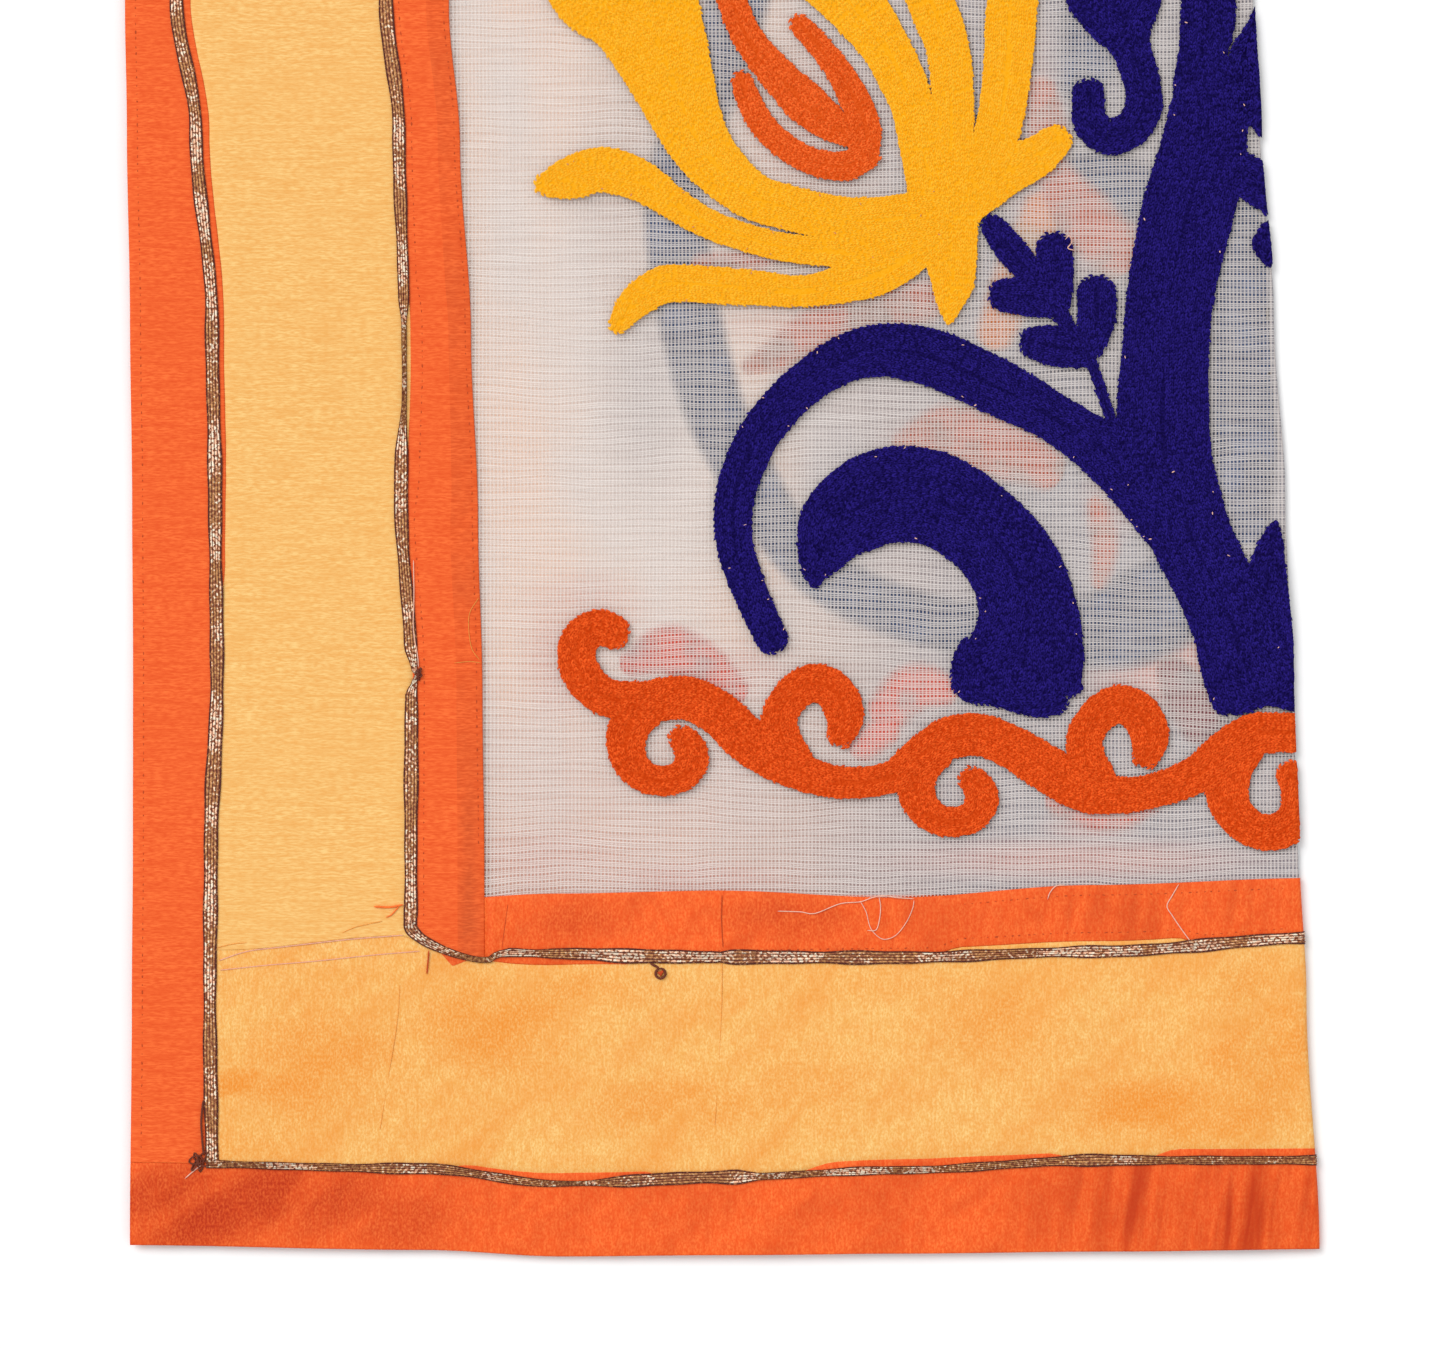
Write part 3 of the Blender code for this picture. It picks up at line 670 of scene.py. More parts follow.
def makeNet():
    shares = np.linspace(0, 1, netPiece["rows"] + 1)
    rough = netPiece["rowsFrom"] + (cloth["length"] - 2 * netPiece["rowsFrom"]) * shares
    left = sideLine(netEdge, rough) - netPiece["under"]
    front = np.array(frontColumns(netPiece["frontStep"], left, rough))
    arc = np.array(foldColumns(rough))
    back = np.array(backColumns(netPiece["backStep"], left + cloth["backInset"], rough))
    x = np.concatenate([front, arc, back])
    near = np.where(x > foldCentre(rough) + 2, backEnds[netCross], endLine(netCross, x))
    near = near - netPiece["underEnds"]
    d = near + (cloth["length"] - 2 * near) * shares
    ripple = np.sin(x / netPiece["puckerAcross"] + 3 * np.sin(d / netPiece["puckerDrift"]))
    ripple = ripple * np.sin(d / netPiece["puckerAlong"]) * (x < foldCentre(d) - netPiece["calmAtFold"])
    out = netPiece["level"] + netPiece["pucker"] * ripple
    out = np.where(x > foldCentre(d) + math.pi, netPiece["backLevel"], out)
    mesh = gridMesh("netField", x, d, out)
    # the under half's finish starts in the middle of the fold
    backFrom = (len(front) + len(arc) // 2) * (x.shape[1] - 1)
    for face in mesh.polygons:
        face.material_index = int(face.index >= backFrom)
    return newPiece("netField", mesh, (frontNet, underNet), "net", ["net_field"])


netField = makeNet()
print("net made")

# Silk strips
silk = {
    "wall": 0.4,
    "backWall": 0.5,
    "edgeDrop": 0.2,         # a strip's folded edges turn down by this much
    "underDrop": 0.6,        # and yellow's that run in under orange by this
    "cornerDrop": 0.1,       # but less where the yellow strips meet in the corner
    "cornerTo": -126.0,
    "edgeReach": 1.3,
    "pucker": 0.10,          # seams draw the silk into small puckers
    "puckerLength": 9.0,
    "puckerReach": 9.0,
    "wander": 0.10,          # and it is never quite flat between them
    "step": 6.0,
    "farStep": 16.0,
    "endStep": 4.0,
    "edgeSteps": (0.5, 1.3, 3.2),  # mm from an edge
    "endRow": 0.5,           # a short first and last row keeps the shading of long faces clean
    "foldSteps": 7,
    "backSteps": 12,
    "backEase": 60.0,        # mm past the fold over which an end strip goes over to its back line
    "overlap": 0.9,          # that yellow runs in under orange
    "hemFrom": 0.42,         # share of the inner strip's width where its turned hem starts
}

# Where the silk's seam lies beside the ribbon that should cover it: place, shift in mm
sideShift = {
    outerSeam: np.array((
        (0, 0.0), (250, 0.4), (275, 3.8), (330, 4.6), (500, 5.6), (560, 4.0), (640, 0.0),
    )),
    innerSeam: np.array((
        (0, 0.5), (290, 0.5), (310, 2.6), (345, 3.0), (372, 2.6), (392, 0.5), (2300, 0.5),
    )),
}
crossShift = {
    outerCross: np.array((
        (-239, 0.0), (-115, 0.3), (-100, 3.0), (-60, 4.2), (-34, 3.6), (-20, 0.0), (24, 0.2),
        (44, 4.2), (90, 4.4), (128, 3.4), (140, 0.6), (166, 0.8), (180, 4.4), (240, 4.6),
    )),
    innerCross: np.array((
        (-239, -3.4), (-204, -3.4), (-128, 4.6), (-124, 3.6), (-120, 2.6), (-114, 0.6), (-109, -1.5),
        (-103, -3.0), (-98, -3.6), (-84, -4.2), (-40, -3.4), (-24, -1.0), (84, 0.4), (96, 3.6),
        (150, 4.2), (182, 3.8), (194, 0.6), (240, 0.5),
    )),
}


def seamX(column, d):
    if column not in sideShift:
        return sideLine(column, d)
    return sideLine(column, d) + readTable(sideShift[column], 1, fromEnd(d))


def seamD(column, x):
    return endLine(column, x) + (readTable(crossShift[column], 1, x) if column in crossShift else 0.0)


def edgeShares(width, step):
    # closely spaced at both edges, where the silk turns down
    first, second, third = silk["edgeSteps"]
    inner = np.linspace(third, width - third, max(2, round(width / step)))
    return np.concatenate([[0, first, second], inner, [width - second, width - first, width]]) / width


def silkOut(x, d, fromEdges, drop=silk["edgeDrop"]):
    # height of the silk over its lie: turned edges, seam puckers and creases
    turned = -drop * np.exp(-(fromEdges / silk["edgeReach"]) ** 2)
    phase = (x * 0.94 + d * 1.07) * math.tau / silk["puckerLength"] + 2.1 * np.sin(x / 13 + d / 17)
    pucker = silk["pucker"] * np.sin(phase) * np.exp(-fromEdges / silk["puckerReach"])
    wander = np.sin(x / 7.7 + 1.3 * np.sin(d / 9.1)) * np.sin(d / 8.3 + 1.1 * np.sin(x / 11.9))
    return turned + pucker + silk["wander"] * wander + creaseRelief(x, d)


def lengthRows(near, far):
    # fine over the pattern's end, coarser along the plain middle, close at both ends
    near, far, fineTo = float(near), float(far), cloth["fineTo"]
    low = np.arange(near + silk["step"], fineTo, silk["step"])
    high = np.linspace(fineTo, far, round((far - fineTo) / silk["farStep"]))[:-1]
    return np.concatenate([[near, near + silk["endRow"]], low, high, [far - silk["endRow"], far]])


def sideStrip(name, left, right, start, finish, slot, onBack):
    startAt = backEnds[start] if onBack else float(seamD(start, sideLine(left, cloth["cornerAt"])))
    d = lengthRows(startAt, cloth["length"] - startAt)
    shares = edgeShares(float(np.median(seamX(right, d) - seamX(left, d))), silk["step"])
    under = silk["overlap"] if slot == "yellow_silk" else 0.0
    leftX, rightX = seamX(left, d) - under, seamX(right, d) + under
    x = leftX + (rightX - leftX) * shares[:, None]
    d = np.broadcast_to(d, x.shape).copy()
    fromEdges = np.minimum(x - leftX, rightX - x)
    if onBack:
        reach = foldCentre(d) - x - cloth["backInset"]
        x = (foldCentre(d) + math.pi * cloth["foldRadius"] + reach)[::-1]
        d = d[::-1]
        out = np.full(x.shape, 0.0)
    else:
        near = seamD(start, x)
        d = near + (cloth["length"] - 2 * near) * (d - d[:, :1]) / (d[:, -1:] - d[:, :1])
        out = silkOut(x, d, fromEdges, silk["underDrop"] if under else silk["edgeDrop"])
    mesh = gridMesh(name, x, d, out)
    # the inner strip's doubled hem shows on the front
    hemmed = right == netEdge
    doubled = np.repeat(shares[:-1] > silk["hemFrom"], x.shape[1] - 1) & hemmed & (not onBack)
    for face, isDouble in zip(mesh.polygons, doubled):
        face.material_index = int(isDouble)
    piece = newPiece(name, mesh, (finish, orangeFoldedSilk) if hemmed else (finish,), slot)
    thicken(piece, silk["backWall"] if onBack else silk["wall"])
    return piece


# each strip with its flat cut, how it is held and what is sewn on it
strips = {}
sideStrips = (
    ("OuterStrip", cutEdge, outerSeam, outerCross, orangeSideSilk, "orange_silk", "outer"),
    ("MiddleStrip", outerSeam, innerSeam, innerCross, yellowSideSilk, "yellow_silk", "middle"),
    ("InnerStrip", innerSeam, netEdge, innerCross, orangeSideSilk, "orange_silk", "inner"),
)
for layer in ("front", "back"):
    for title, left, right, start, finish, slot, band in sideStrips:
        strip = sideStrip(f"{layer}Side{title}", left, right, start, finish, slot, layer == "back")
        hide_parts(f"{layer}_side_{band}_strip")
        cut = {"outer": (0.033, 2.231), "middle": (0.080, 2.058), "inner": (0.029, 2.058)}[band]
        strips[strip.name] = (strip, cut, "laid", [])


def endStrip(name, low, high, left, finish, slot, far, nodeName):
    # from the side border over the front half, round the fold and back underneath
    leftX = float(sideLine(left, cloth["cornerAt"]))
    centre = float(foldCentre(cloth["cornerAt"]))
    count = round((centre - leftX) / silk["endStep"])
    frontX = leftX + (centre - leftX) * np.linspace(0, 1, count + 1)
    arcX = centre + math.pi * cloth["foldRadius"] * np.arange(1, silk["foldSteps"] + 1) / silk["foldSteps"]
    backReach = centre - leftX - cloth["backInset"]
    backX = arcX[-1] + backReach * np.linspace(0, 1, silk["backSteps"] + 1)[1:]
    x = np.concatenate([frontX, arcX, backX])
    under = silk["overlap"] if slot == "yellow_silk" else 0.0
    turned = np.clip((x - centre - 2) / silk["backEase"], 0, 1)
    lowD, highD = seamD(low, x) - under, seamD(high, x) + under
    lowD = lowD + (backEnds[low] - lowD) * turned
    highD = highD + (backEnds[high] - highD) * turned
    shares = edgeShares(float(np.median(highD - lowD)), silk["endStep"])
    d = lowD[:, None] + (highD - lowD)[:, None] * shares
    fromEdges = np.minimum(d - lowD[:, None], highD[:, None] - d)
    grid = np.broadcast_to(x[:, None], d.shape).copy()
    # the fold leans, so a column keeps its distance from the fold on every row
    lean = foldCentre(d) - centre
    ease = np.clip((grid - leftX) / (centre - leftX), 0, 1)
    leftHere = sideLine(left, d)
    grid = np.where(grid <= centre, leftHere + (foldCentre(d) - leftHere) * ease, grid + lean)
    drop = silk["edgeDrop"]
    if under:
        drop = np.where(grid < silk["cornerTo"], silk["cornerDrop"], silk["underDrop"])
    out = np.where(grid < foldCentre(d) + 1, silkOut(grid, d, fromEdges, drop), 0.0)
    if far:
        grid, d, out = grid[:, ::-1], cloth["length"] - d[:, ::-1], out[:, ::-1]
    piece = newPiece(name, gridMesh(name, grid, d, out), (finish,), slot, [nodeName])
    thicken(piece, silk["wall"])
    return piece


endStrips = (
    ("OuterStrip", hemLine, outerCross, cutEdge, orangeEndSilk, "orange_silk", "outer", (0.95, 0.034)),
    ("MiddleStrip", outerCross, innerCross, outerSeam, yellowEndSilk, "yellow_silk", "middle", (0.88, 0.088)),
    ("InnerStrip", innerCross, netCross, netEdge, orangeEndSilk, "orange_silk", "inner", (0.65, 0.025)),
)
for end in ("near", "far"):
    for title, low, high, left, finish, slot, band, cut in endStrips:
        strip = endStrip(f"{end}{title}", low, high, left, finish, slot, end == "far", f"{end}_{band}_strip")
        strips[strip.name] = (strip, cut, "folded", [])


def sewOn(stripName, piece):
    strips[stripName][3].append(piece)


print("silk made")

# Gota ribbons: four strands between dark edges
gota = {
    "width": 5.6,
    "lift": 0.15,
    "strandHeight": 0.5,
    "bunch": 0.9,            # share that the strands rise where the ribbon is drawn together
    "step": 2.0,
    "farStep": 8.0,
    "wrap": 4.0,             # mm past the fold's centre where the crosswise ribbons end
    "sideWaves": ((0.06, 9.3), (0.05, 4.1), (0.04, 23)),  # share and length of the waves in the width
    "crossWaves": ((0.09, 7.3), (0.07, 3.7)),
}
# across the ribbon as a share of its half width, height as a share, and 1 for a strand
ribbonProfile = (
    (-1.0, -0.6, 0), (-0.97, 0.7, 0), (-0.88, 0.85, 0), (-0.79, 0.1, 0),
    (-0.76, 0.55, 1), (-0.62, 1.0, 1), (-0.48, 0.55, 1), (-0.42, 0.1, 0),
    (-0.36, 0.55, 1), (-0.20, 1.0, 1), (-0.05, 0.55, 1), (0.0, 0.1, 0),
    (0.05, 0.55, 1), (0.20, 1.0, 1), (0.36, 0.55, 1), (0.42, 0.1, 0),
    (0.48, 0.55, 1), (0.62, 1.0, 1), (0.76, 0.55, 1), (0.79, 0.1, 0),
    (0.88, 0.85, 0), (0.97, 0.7, 0), (1.0, -0.6, 0),
)
# how each ribbon narrows where it twists: place along it, share of the full width, shift
sideLie = {
    outerSeam: np.array((
        (0, 0.9, 0), (60, 1.0, 0), (200, 1.05, 0), (300, 1.0, 0), (500, 0.95, 0), (2300, 1.0, 0),
    )),
    innerSeam: np.array((
        (0, 0.6, 0), (126, 0.6, 0), (136, 0.95, 0), (222, 1.0, 0), (227, 0.5, 1.2), (230, 0.25, 2.0),
        (233, 0.5, 1.0), (242, 0.95, 0), (300, 1.0, 0), (318, 0.9, 0), (340, 0.35, 0.6),
        (370, 0.35, 0), (382, 0.9, 0), (500, 1.0, 0), (2300, 1.0, 0),
    )),
}
crossLie = {
    outerCross: np.array((
        (-239, 0.6, 0), (-205, 0.6, 0), (-176, 0.5, 0), (-120, 0.8, 0), (-80, 0.6, 0), (-60, 0.4, 0),
        (-30, 0.9, 0), (4, 1.0, 0), (16, 0.5, 0), (60, 0.6, 0), (110, 0.6, 0), (150, 0.85, 0),
        (190, 0.6, 0), (250, 0.7, 0),
    )),
    innerCross: np.array((
        (-125, 0.95, 0), (-120, 0.75, 0), (-110, 0.55, -1), (-100, 0.5, -2.5), (-93, 0.45, -3.2),
        (-89.6, 0.45, -0.7), (-84, 0.6, 0.3), (-76, 0.55, 0.5), (-66, 0.75, 0.6), (-56, 1.0, 0.5),
        (-40, 1, 0), (-4, 1, 0), (-1, 0.8, 0), (3, 1, 0), (60, 0.95, 0), (120, 0.75, 0), (170, 0.9, 0),
        (250, 0.9, 0),
    )),
}
# the inner ribbon rounds the corner in one piece: x and d of the turn
innerTurn = (
    (-124.8, 137), (-124.8, 132), (-124.4, 128.4), (-120.2, 124.4), (-114.6, 121.4), (-109.2, 119.2),
    (-103.8, 117.5), (-98.3, 116.3), (-95, 116.1),
)


def ribbonMesh(name, x, d, width, far=False):
    # sweeps the profile along a path in the cut's coordinates
    across = np.array([row[0] for row in ribbonProfile])[:, None]
    rise = np.array([row[1] for row in ribbonProfile])[:, None]
    way = np.gradient(np.stack([x, d]), axis=1)
    way = way / np.linalg.norm(way, axis=0)
    half = gota["width"] / 2 * width
    bunch = gota["strandHeight"] * (1 + gota["bunch"] * (1 - np.clip(width, 0, 1)))
    gridX = x + across * half * way[1]
    gridD = d - across * half * way[0]
    out = gota["lift"] + rise * bunch + creaseRelief(gridX, gridD)
    if far:
        gridX, gridD, out = gridX[::-1], cloth["length"] - gridD[::-1], out[::-1]
    mesh = gridMesh(name, gridX, gridD, out)
    rows = x.shape[0] - 1
    for face in mesh.polygons:
        column = face.index // rows
        isStrand = ribbonProfile[column][2] and ribbonProfile[column + 1][2]
        face.material_index = int(not isStrand)
    return mesh


def unevenAt(at, waves):
    return 1 + sum(share * np.sin(at / length) for share, length in waves)


def sideRibbon(name, seam, cross, turnAt, nodeName):
    near = turnAt or float(endLine(cross, sideLine(seam, cloth["cornerAt"]))) + 1
    d = np.concatenate([np.arange(near, cloth["fineTo"], gota["step"]),
                        np.arange(cloth["fineTo"], cloth["length"] - near, gota["farStep"])])
    width = readTable(sideLie[seam], 1, fromEnd(d)) * unevenAt(d, gota["sideWaves"])
    x = sideLine(seam, d) + readTable(sideLie[seam], 2, fromEnd(d))
    mesh = ribbonMesh(name, x, d, width)
    return newPiece(name, mesh, (strandFinish, edgeFinish), "gota", [nodeName])


def crossRibbon(name, seam, left, turn, far, nodeName):
    # from the corner, or from the turn's end, to just round the fold
    start = turn[-1][0] + gota["step"] if turn else float(sideLine(left, cloth["cornerAt"])) - 1.5
    end = float(foldCentre(endLine(seam, cloth["foldAt"]))) + gota["wrap"]
    x = np.arange(start, end, gota["step"])
    d = endLine(seam, x) + readTable(crossLie[seam], 2, x)
    if turn:
        bend = smoothStroke([(a, b, 1.0) for a, b in turn], 1.0, capped=False)
        x, d = np.concatenate([bend[:, 0], x]), np.concatenate([bend[:, 1], d])
    width = readTable(crossLie[seam], 1, x) * unevenAt(x, gota["crossWaves"])
    mesh = ribbonMesh(name, x, d, width, far)
    return newPiece(name, mesh, (wornStrandFinish, edgeFinish), "gota", [nodeName])


sewOn("frontSideMiddleStrip", sideRibbon("sideOuterRibbon", outerSeam, outerCross, 0, "side_outer_ribbon"))
sewOn("frontSideInnerStrip",
      sideRibbon("sideInnerRibbon", innerSeam, innerCross, innerTurn[1][1], "side_inner_ribbon"))
for end in ("near", "far"):
    for title, seam, left, turn, strip in (
        ("Outer", outerCross, outerSeam, (), "Middle"),
        ("Inner", innerCross, innerSeam, innerTurn, "Inner"),
    ):
        nodeName = f"{end}_{title.lower()}_ribbon"
        ribbon = crossRibbon(f"{end}{title}Ribbon", seam, left, turn, end == "far", nodeName)
        sewOn(f"{end}{strip}Strip", ribbon)
print("ribbons made")

# Wool motifs, drawn as strokes: x, d and width of each point
lotus = (
    ((-62, 566, 4), (-54, 540, 50), (-42, 512, 60), (-31, 494, 46), (-22, 473, 36),
     (-14, 452, 28), (-6, 438, 24), (7, 425, 20), (20, 418.5, 18.5), (52, 412, 18),
     (85, 414, 20)),
    ((-71, 426, 10), (-61, 428.5, 17), (-50, 432, 18), (-40, 430.5, 18), (-30, 426, 16),
     (-21, 419.5, 13.5), (-7, 411, 12), (9, 405, 11.5), (25, 401, 11.5), (40, 399.5, 12),
     (56, 400, 14), (80, 408, 16)),
    ((-42, 370, 8), (-35, 379, 13.5), (-24, 386, 15), (-13, 386.4, 15), (1, 385.6, 15),
     (17, 384.4, 14), (31, 383.4, 12.5), (47, 386, 15), (62, 390, 16.5), (74, 397, 16),
     (84, 406, 16)),
    ((91, 416, 22), (91, 400, 22), (92, 388, 18), (91, 378, 11), (90.5, 371, 3)),
    ((-9, 560, 4), (17, 530, 22), (50, 501, 24), (64.5, 482, 20), (71, 470, 19),
     (76, 457, 17.5), (80, 440, 18), (86, 418, 22)),
    ((58, 566, 4), (69, 536, 15), (83, 500, 19), (90, 481, 17.5), (92, 463, 17),
     (92, 440, 17), (90, 418, 20)),
    ((125, 560, 4), (120, 532, 16), (116, 500, 20.5), (114, 473, 19.5), (111, 452, 18.5),
     (105, 434, 17.5), (95, 417, 20)),
    ((134, 444, 13), (125, 437, 17), (113, 431, 19), (97, 421, 22)),
)
lotusHeart = (
    ((7.5, 468, 8.5), (10.5, 460, 10), (16, 450, 10.5), (25.5, 441, 10.5),
     (37, 435, 11), (49, 433.5, 12), (57.5, 438, 12)),
    ((30.5, 490.5, 8.5), (37.5, 483, 9.5), (45.5, 473, 10.5), (53, 460, 12.5),
     (57.5, 448, 12), (56.5, 437, 12)),
    ((-5, 520, 4), (-2, 512, 9), (3, 501, 11.5), (10, 485, 12.5), (22, 470, 14.5),
     (33.5, 458.5, 17), (44, 450, 14), (54, 444, 8)),
)
stem = (
    ((186, 640, 4), (192, 600, 14), (195, 560, 18), (194.5, 500, 22), (193.6, 488, 21.6),
     (192.2, 478, 20), (192.6, 470, 25), (194.5, 458, 31), (192, 438.8, 35), (186.7, 418, 36.8),
     (182, 398, 36), (178.5, 378, 35), (177, 358, 35), (176, 338, 37), (177, 318, 37),
     (182.5, 300, 34), (188, 284, 33), (196, 268, 32), (204, 250, 33), (208, 236, 35),
     (211, 228, 36), (213, 223.5, 36)),
    ((192, 274, 26), (179, 295, 30), (159, 314.5, 25), (135.5, 331, 19.5), (111, 344.5, 22.5),
     (81.5, 357.5, 23), (57, 359, 20.5), (35, 348, 17.5), (16, 328, 17), (5.5, 304, 16),
     (5, 282, 15), (12, 261, 14), (20, 244, 13)),
    ((221, 291, 3), (219.5, 283, 10), (218, 274, 14.5), (218, 262, 17), (218.5, 250, 19),
     (219.5, 238, 21), (220, 226, 22)),
    ((199, 219.5, 8), (206, 219, 10), (214, 221.5, 9), (222, 221.5, 9), (231, 219.5, 10)),
    ((213.4, 497, 2), (212.3, 491, 4.6), (210.8, 485, 8), (209, 479, 12), (208, 470, 15),
     (207, 458, 14), (206, 450, 10)),
    ((213, 470, 6), (213.4, 458, 8), (214.6, 450, 6), (216, 446, 3)),
    ((197, 431, 20), (207, 430.5, 18), (213, 427, 17), (217, 422, 15), (219, 417, 8)),
    ((218.6, 411.5, 2), (217.6, 407, 8), (217.2, 402.8, 11), (217.8, 398, 8), (219, 393.5, 2)),
    ((156, 330, 4.5), (150, 348, 4.5), (145, 360, 5), (139, 368, 6), (133, 378, 8)),
    ((149.5, 383.5, 16), (149.5, 372, 15.5), (147, 361, 11)),
    ((124, 363, 13), (133, 361.5, 16.5), (144, 359, 13)),
    ((112, 382, 13.5), (123, 381, 15.5), (134, 379, 13)),
    ((132.5, 401, 15), (133.5, 390, 14), (134, 377, 11)),
    ((107.5, 410, 9.5), (112.5, 403.5, 12), (119.5, 395, 12), (129, 385, 8.5)),
)
broadLeaf = (
    ((37, 267, 5), (38, 274, 16), (46, 290, 32), (63, 301, 38), (83, 301, 38),
     (102, 290, 36), (116, 274, 37), (122, 256, 40), (121.5, 240, 47),
     (118, 230, 54), (118, 224, 49)),
    ((104, 224, 10), (114, 221.5, 11), (126, 219, 12), (134, 219.5, 11)),
)
hookLeaf = (
    ((151, 548, 4), (153, 526, 32), (156.8, 505, 41), (160, 491, 29), (163, 482, 17),
     (167, 470, 15), (168.5, 458, 15), (163.5, 448.5, 15), (154, 445.5, 15),
     (147, 451.5, 14), (146.4, 463, 13)),
)
vineLine = (
    ((-43, 247, 14), (-50, 249, 15), (-57, 244, 15.5), (-58, 235, 15.5), (-54, 227, 15.5),
     (-46, 221, 15.5), (-32, 219, 17), (-16, 221, 17.5), (-2, 215, 18), (11, 203, 18.5),
     (27, 193, 15.5), (47, 187, 13), (67, 189, 13), (78, 197, 15), (90, 204.5, 17),
     (103, 206, 17), (116, 201, 17.5), (129, 193, 18.5), (145, 184, 18), (161, 182, 14.5),
     (177, 185, 14), (191, 191, 15.5), (201, 199, 17.5), (212, 206, 17), (222, 207, 16),
     (240, 207, 16)),
)
# the vine's curls, the first two from their own middles
curlBelow = (
    (7, 18, 15), (2.2, 14.5, 16.5), (-1, 9.5, 16.5), (-1.6, 3, 15.5), (0.9, -4, 14), (7, -9.2, 12.5),
    (15, -10.2, 12), (22, -7.2, 13), (24.8, -1, 14), (23.2, 4, 13), (20, 7.2, 10.5),
)
curlAbove = (
    (-4, -22, 15), (-9.5, -11, 15), (-9.7, -2, 14.5), (-3, 7, 15), (5.2, 9.8, 15.7), (12.5, 5.5, 16),
    (15.8, -2, 16), (15.6, -7, 14), (14.2, -11.5, 11),
)
curlAtFold = (
    (210, 202, 16), (204, 194, 17), (201.6, 184, 17.5), (204.5, 175, 15.5), (211, 169, 14.5),
    (218.5, 167, 14.5), (225.5, 169, 15), (230, 175, 14.5), (230.5, 184, 15), (227, 190.5, 12),
)
curlsBelowAt = ((-37, 198), (79, 181.5))
curlsAboveAt = ((33, 217), (155, 208.5))
vine = vineLine + (curlAtFold,) + tuple(
    tuple((x + dx, d + dd, width) for dx, dd, width in curl)
    for curl, places in ((curlBelow, curlsBelowAt), (curlAbove, curlsAboveAt)) for x, d in places
)

# What shows through the net of the same work on the under half, seen from its wrong side
backArc = (
    ((9, 512, 24), (0, 480, 24), (-11, 452, 23), (-19, 424, 23), (-17, 396, 24), (-12, 368, 24),
     (-3, 336, 23), (11, 308, 21), (28, 282, 20), (52, 263, 20), (91, 250, 20), (135, 246, 24),
     (165, 252, 36), (191, 268, 34)),
    ((145, 496, 18), (147, 480, 22), (144, 464, 16)),
    ((139, 430, 16), (154, 427, 25), (171, 422, 20)),
    ((209, 414, 16), (208, 396, 22), (209, 364, 26), (209, 328, 26), (209, 288, 18)),
)
backPetals = (
    ((11, 354, 6), (25, 360, 14), (43, 371, 18), (63, 378, 18), (83, 380, 16)),
    ((74, 319, 16), (91, 326, 24), (111, 322, 26), (131, 312, 16)),
    ((150, 298, 7), (153, 282, 10), (151, 268, 6)),
    ((127, 464, 12), (130, 448, 16), (132, 432, 14), (145, 414, 22), (160, 397, 21)),
    ((-9, 395, 6), (23, 397, 6), (59, 398, 7)),
)
backVine = (
    ((-36, 235, 10), (-22, 240, 18), (-7, 233, 17), (5, 224, 10)),
    ((65, 215, 16), (77, 225, 18), (89, 224, 12)),
    ((56, 202, 12), (65, 208, 12)),
    ((135, 180, 12), (155, 175, 14), (171, 180, 10)),
)
backDim = (
    ((180, 232, 12), (187, 220, 19), (192, 209, 16)),
)
backGold = (
    ((109, 366, 14), (116, 384, 18), (125, 406, 18), (127, 418, 12)),
)

wool = {
    "groundStep": 3.0,       # mm between points of the ground's outline
    "groundInset": 0.25,
    "thinnest": 0.3,         # mm, a thinner sliver is left out
    "groundTop": 0.55,
    "groundCut": 16.0,
    "foldCuts": (-3.0, -0.6, 0.6, 1.5),  # mm past the fold's centre
    "strokeStep": 0.5,
    "stitchLength": 2.5,
    "stitchWidth": 1.05,
    "stitchHeight": 0.65,
    "stitchSink": 0.12,
    "rowGap": 1.75,
    "stitchStep": 1.5,
    "edgeInset": 0.95,
    "narrowest": 0.4,        # half width that still takes a row
    "splay": 22.0,           # degrees that a loop's two sides open
    "sideShift": 0.42,       # and how far they lie from its middle
    "apart": 1.25,           # least distance between two stitches
    "placeSpread": 0.16,
    "turnSpread": 0.22,
    "sizeSpread": 0.12,
    "farShare": 0.42,        # share of the stitches kept at the far end, out of the picture
    "farGrow": 1.55,         # and how much larger they are
    "groundPaintedShade": 0.15,      # painted shade: the ground's place between the yarn's dark and light
    "stitchTones": (0.35, 1.0),
    "wrapReach": 2.2,        # mm that the work runs on round the fold
    "wrapEase": 5.0,         # mm over which it thins towards the fold
    "wrapThin": 0.35,
}


def cutShape(bm, place, normal):
    bmesh.ops.bisect_plane(bm, geom=bm.verts[:] + bm.edges[:] + bm.faces[:], plane_co=place, plane_no=normal)


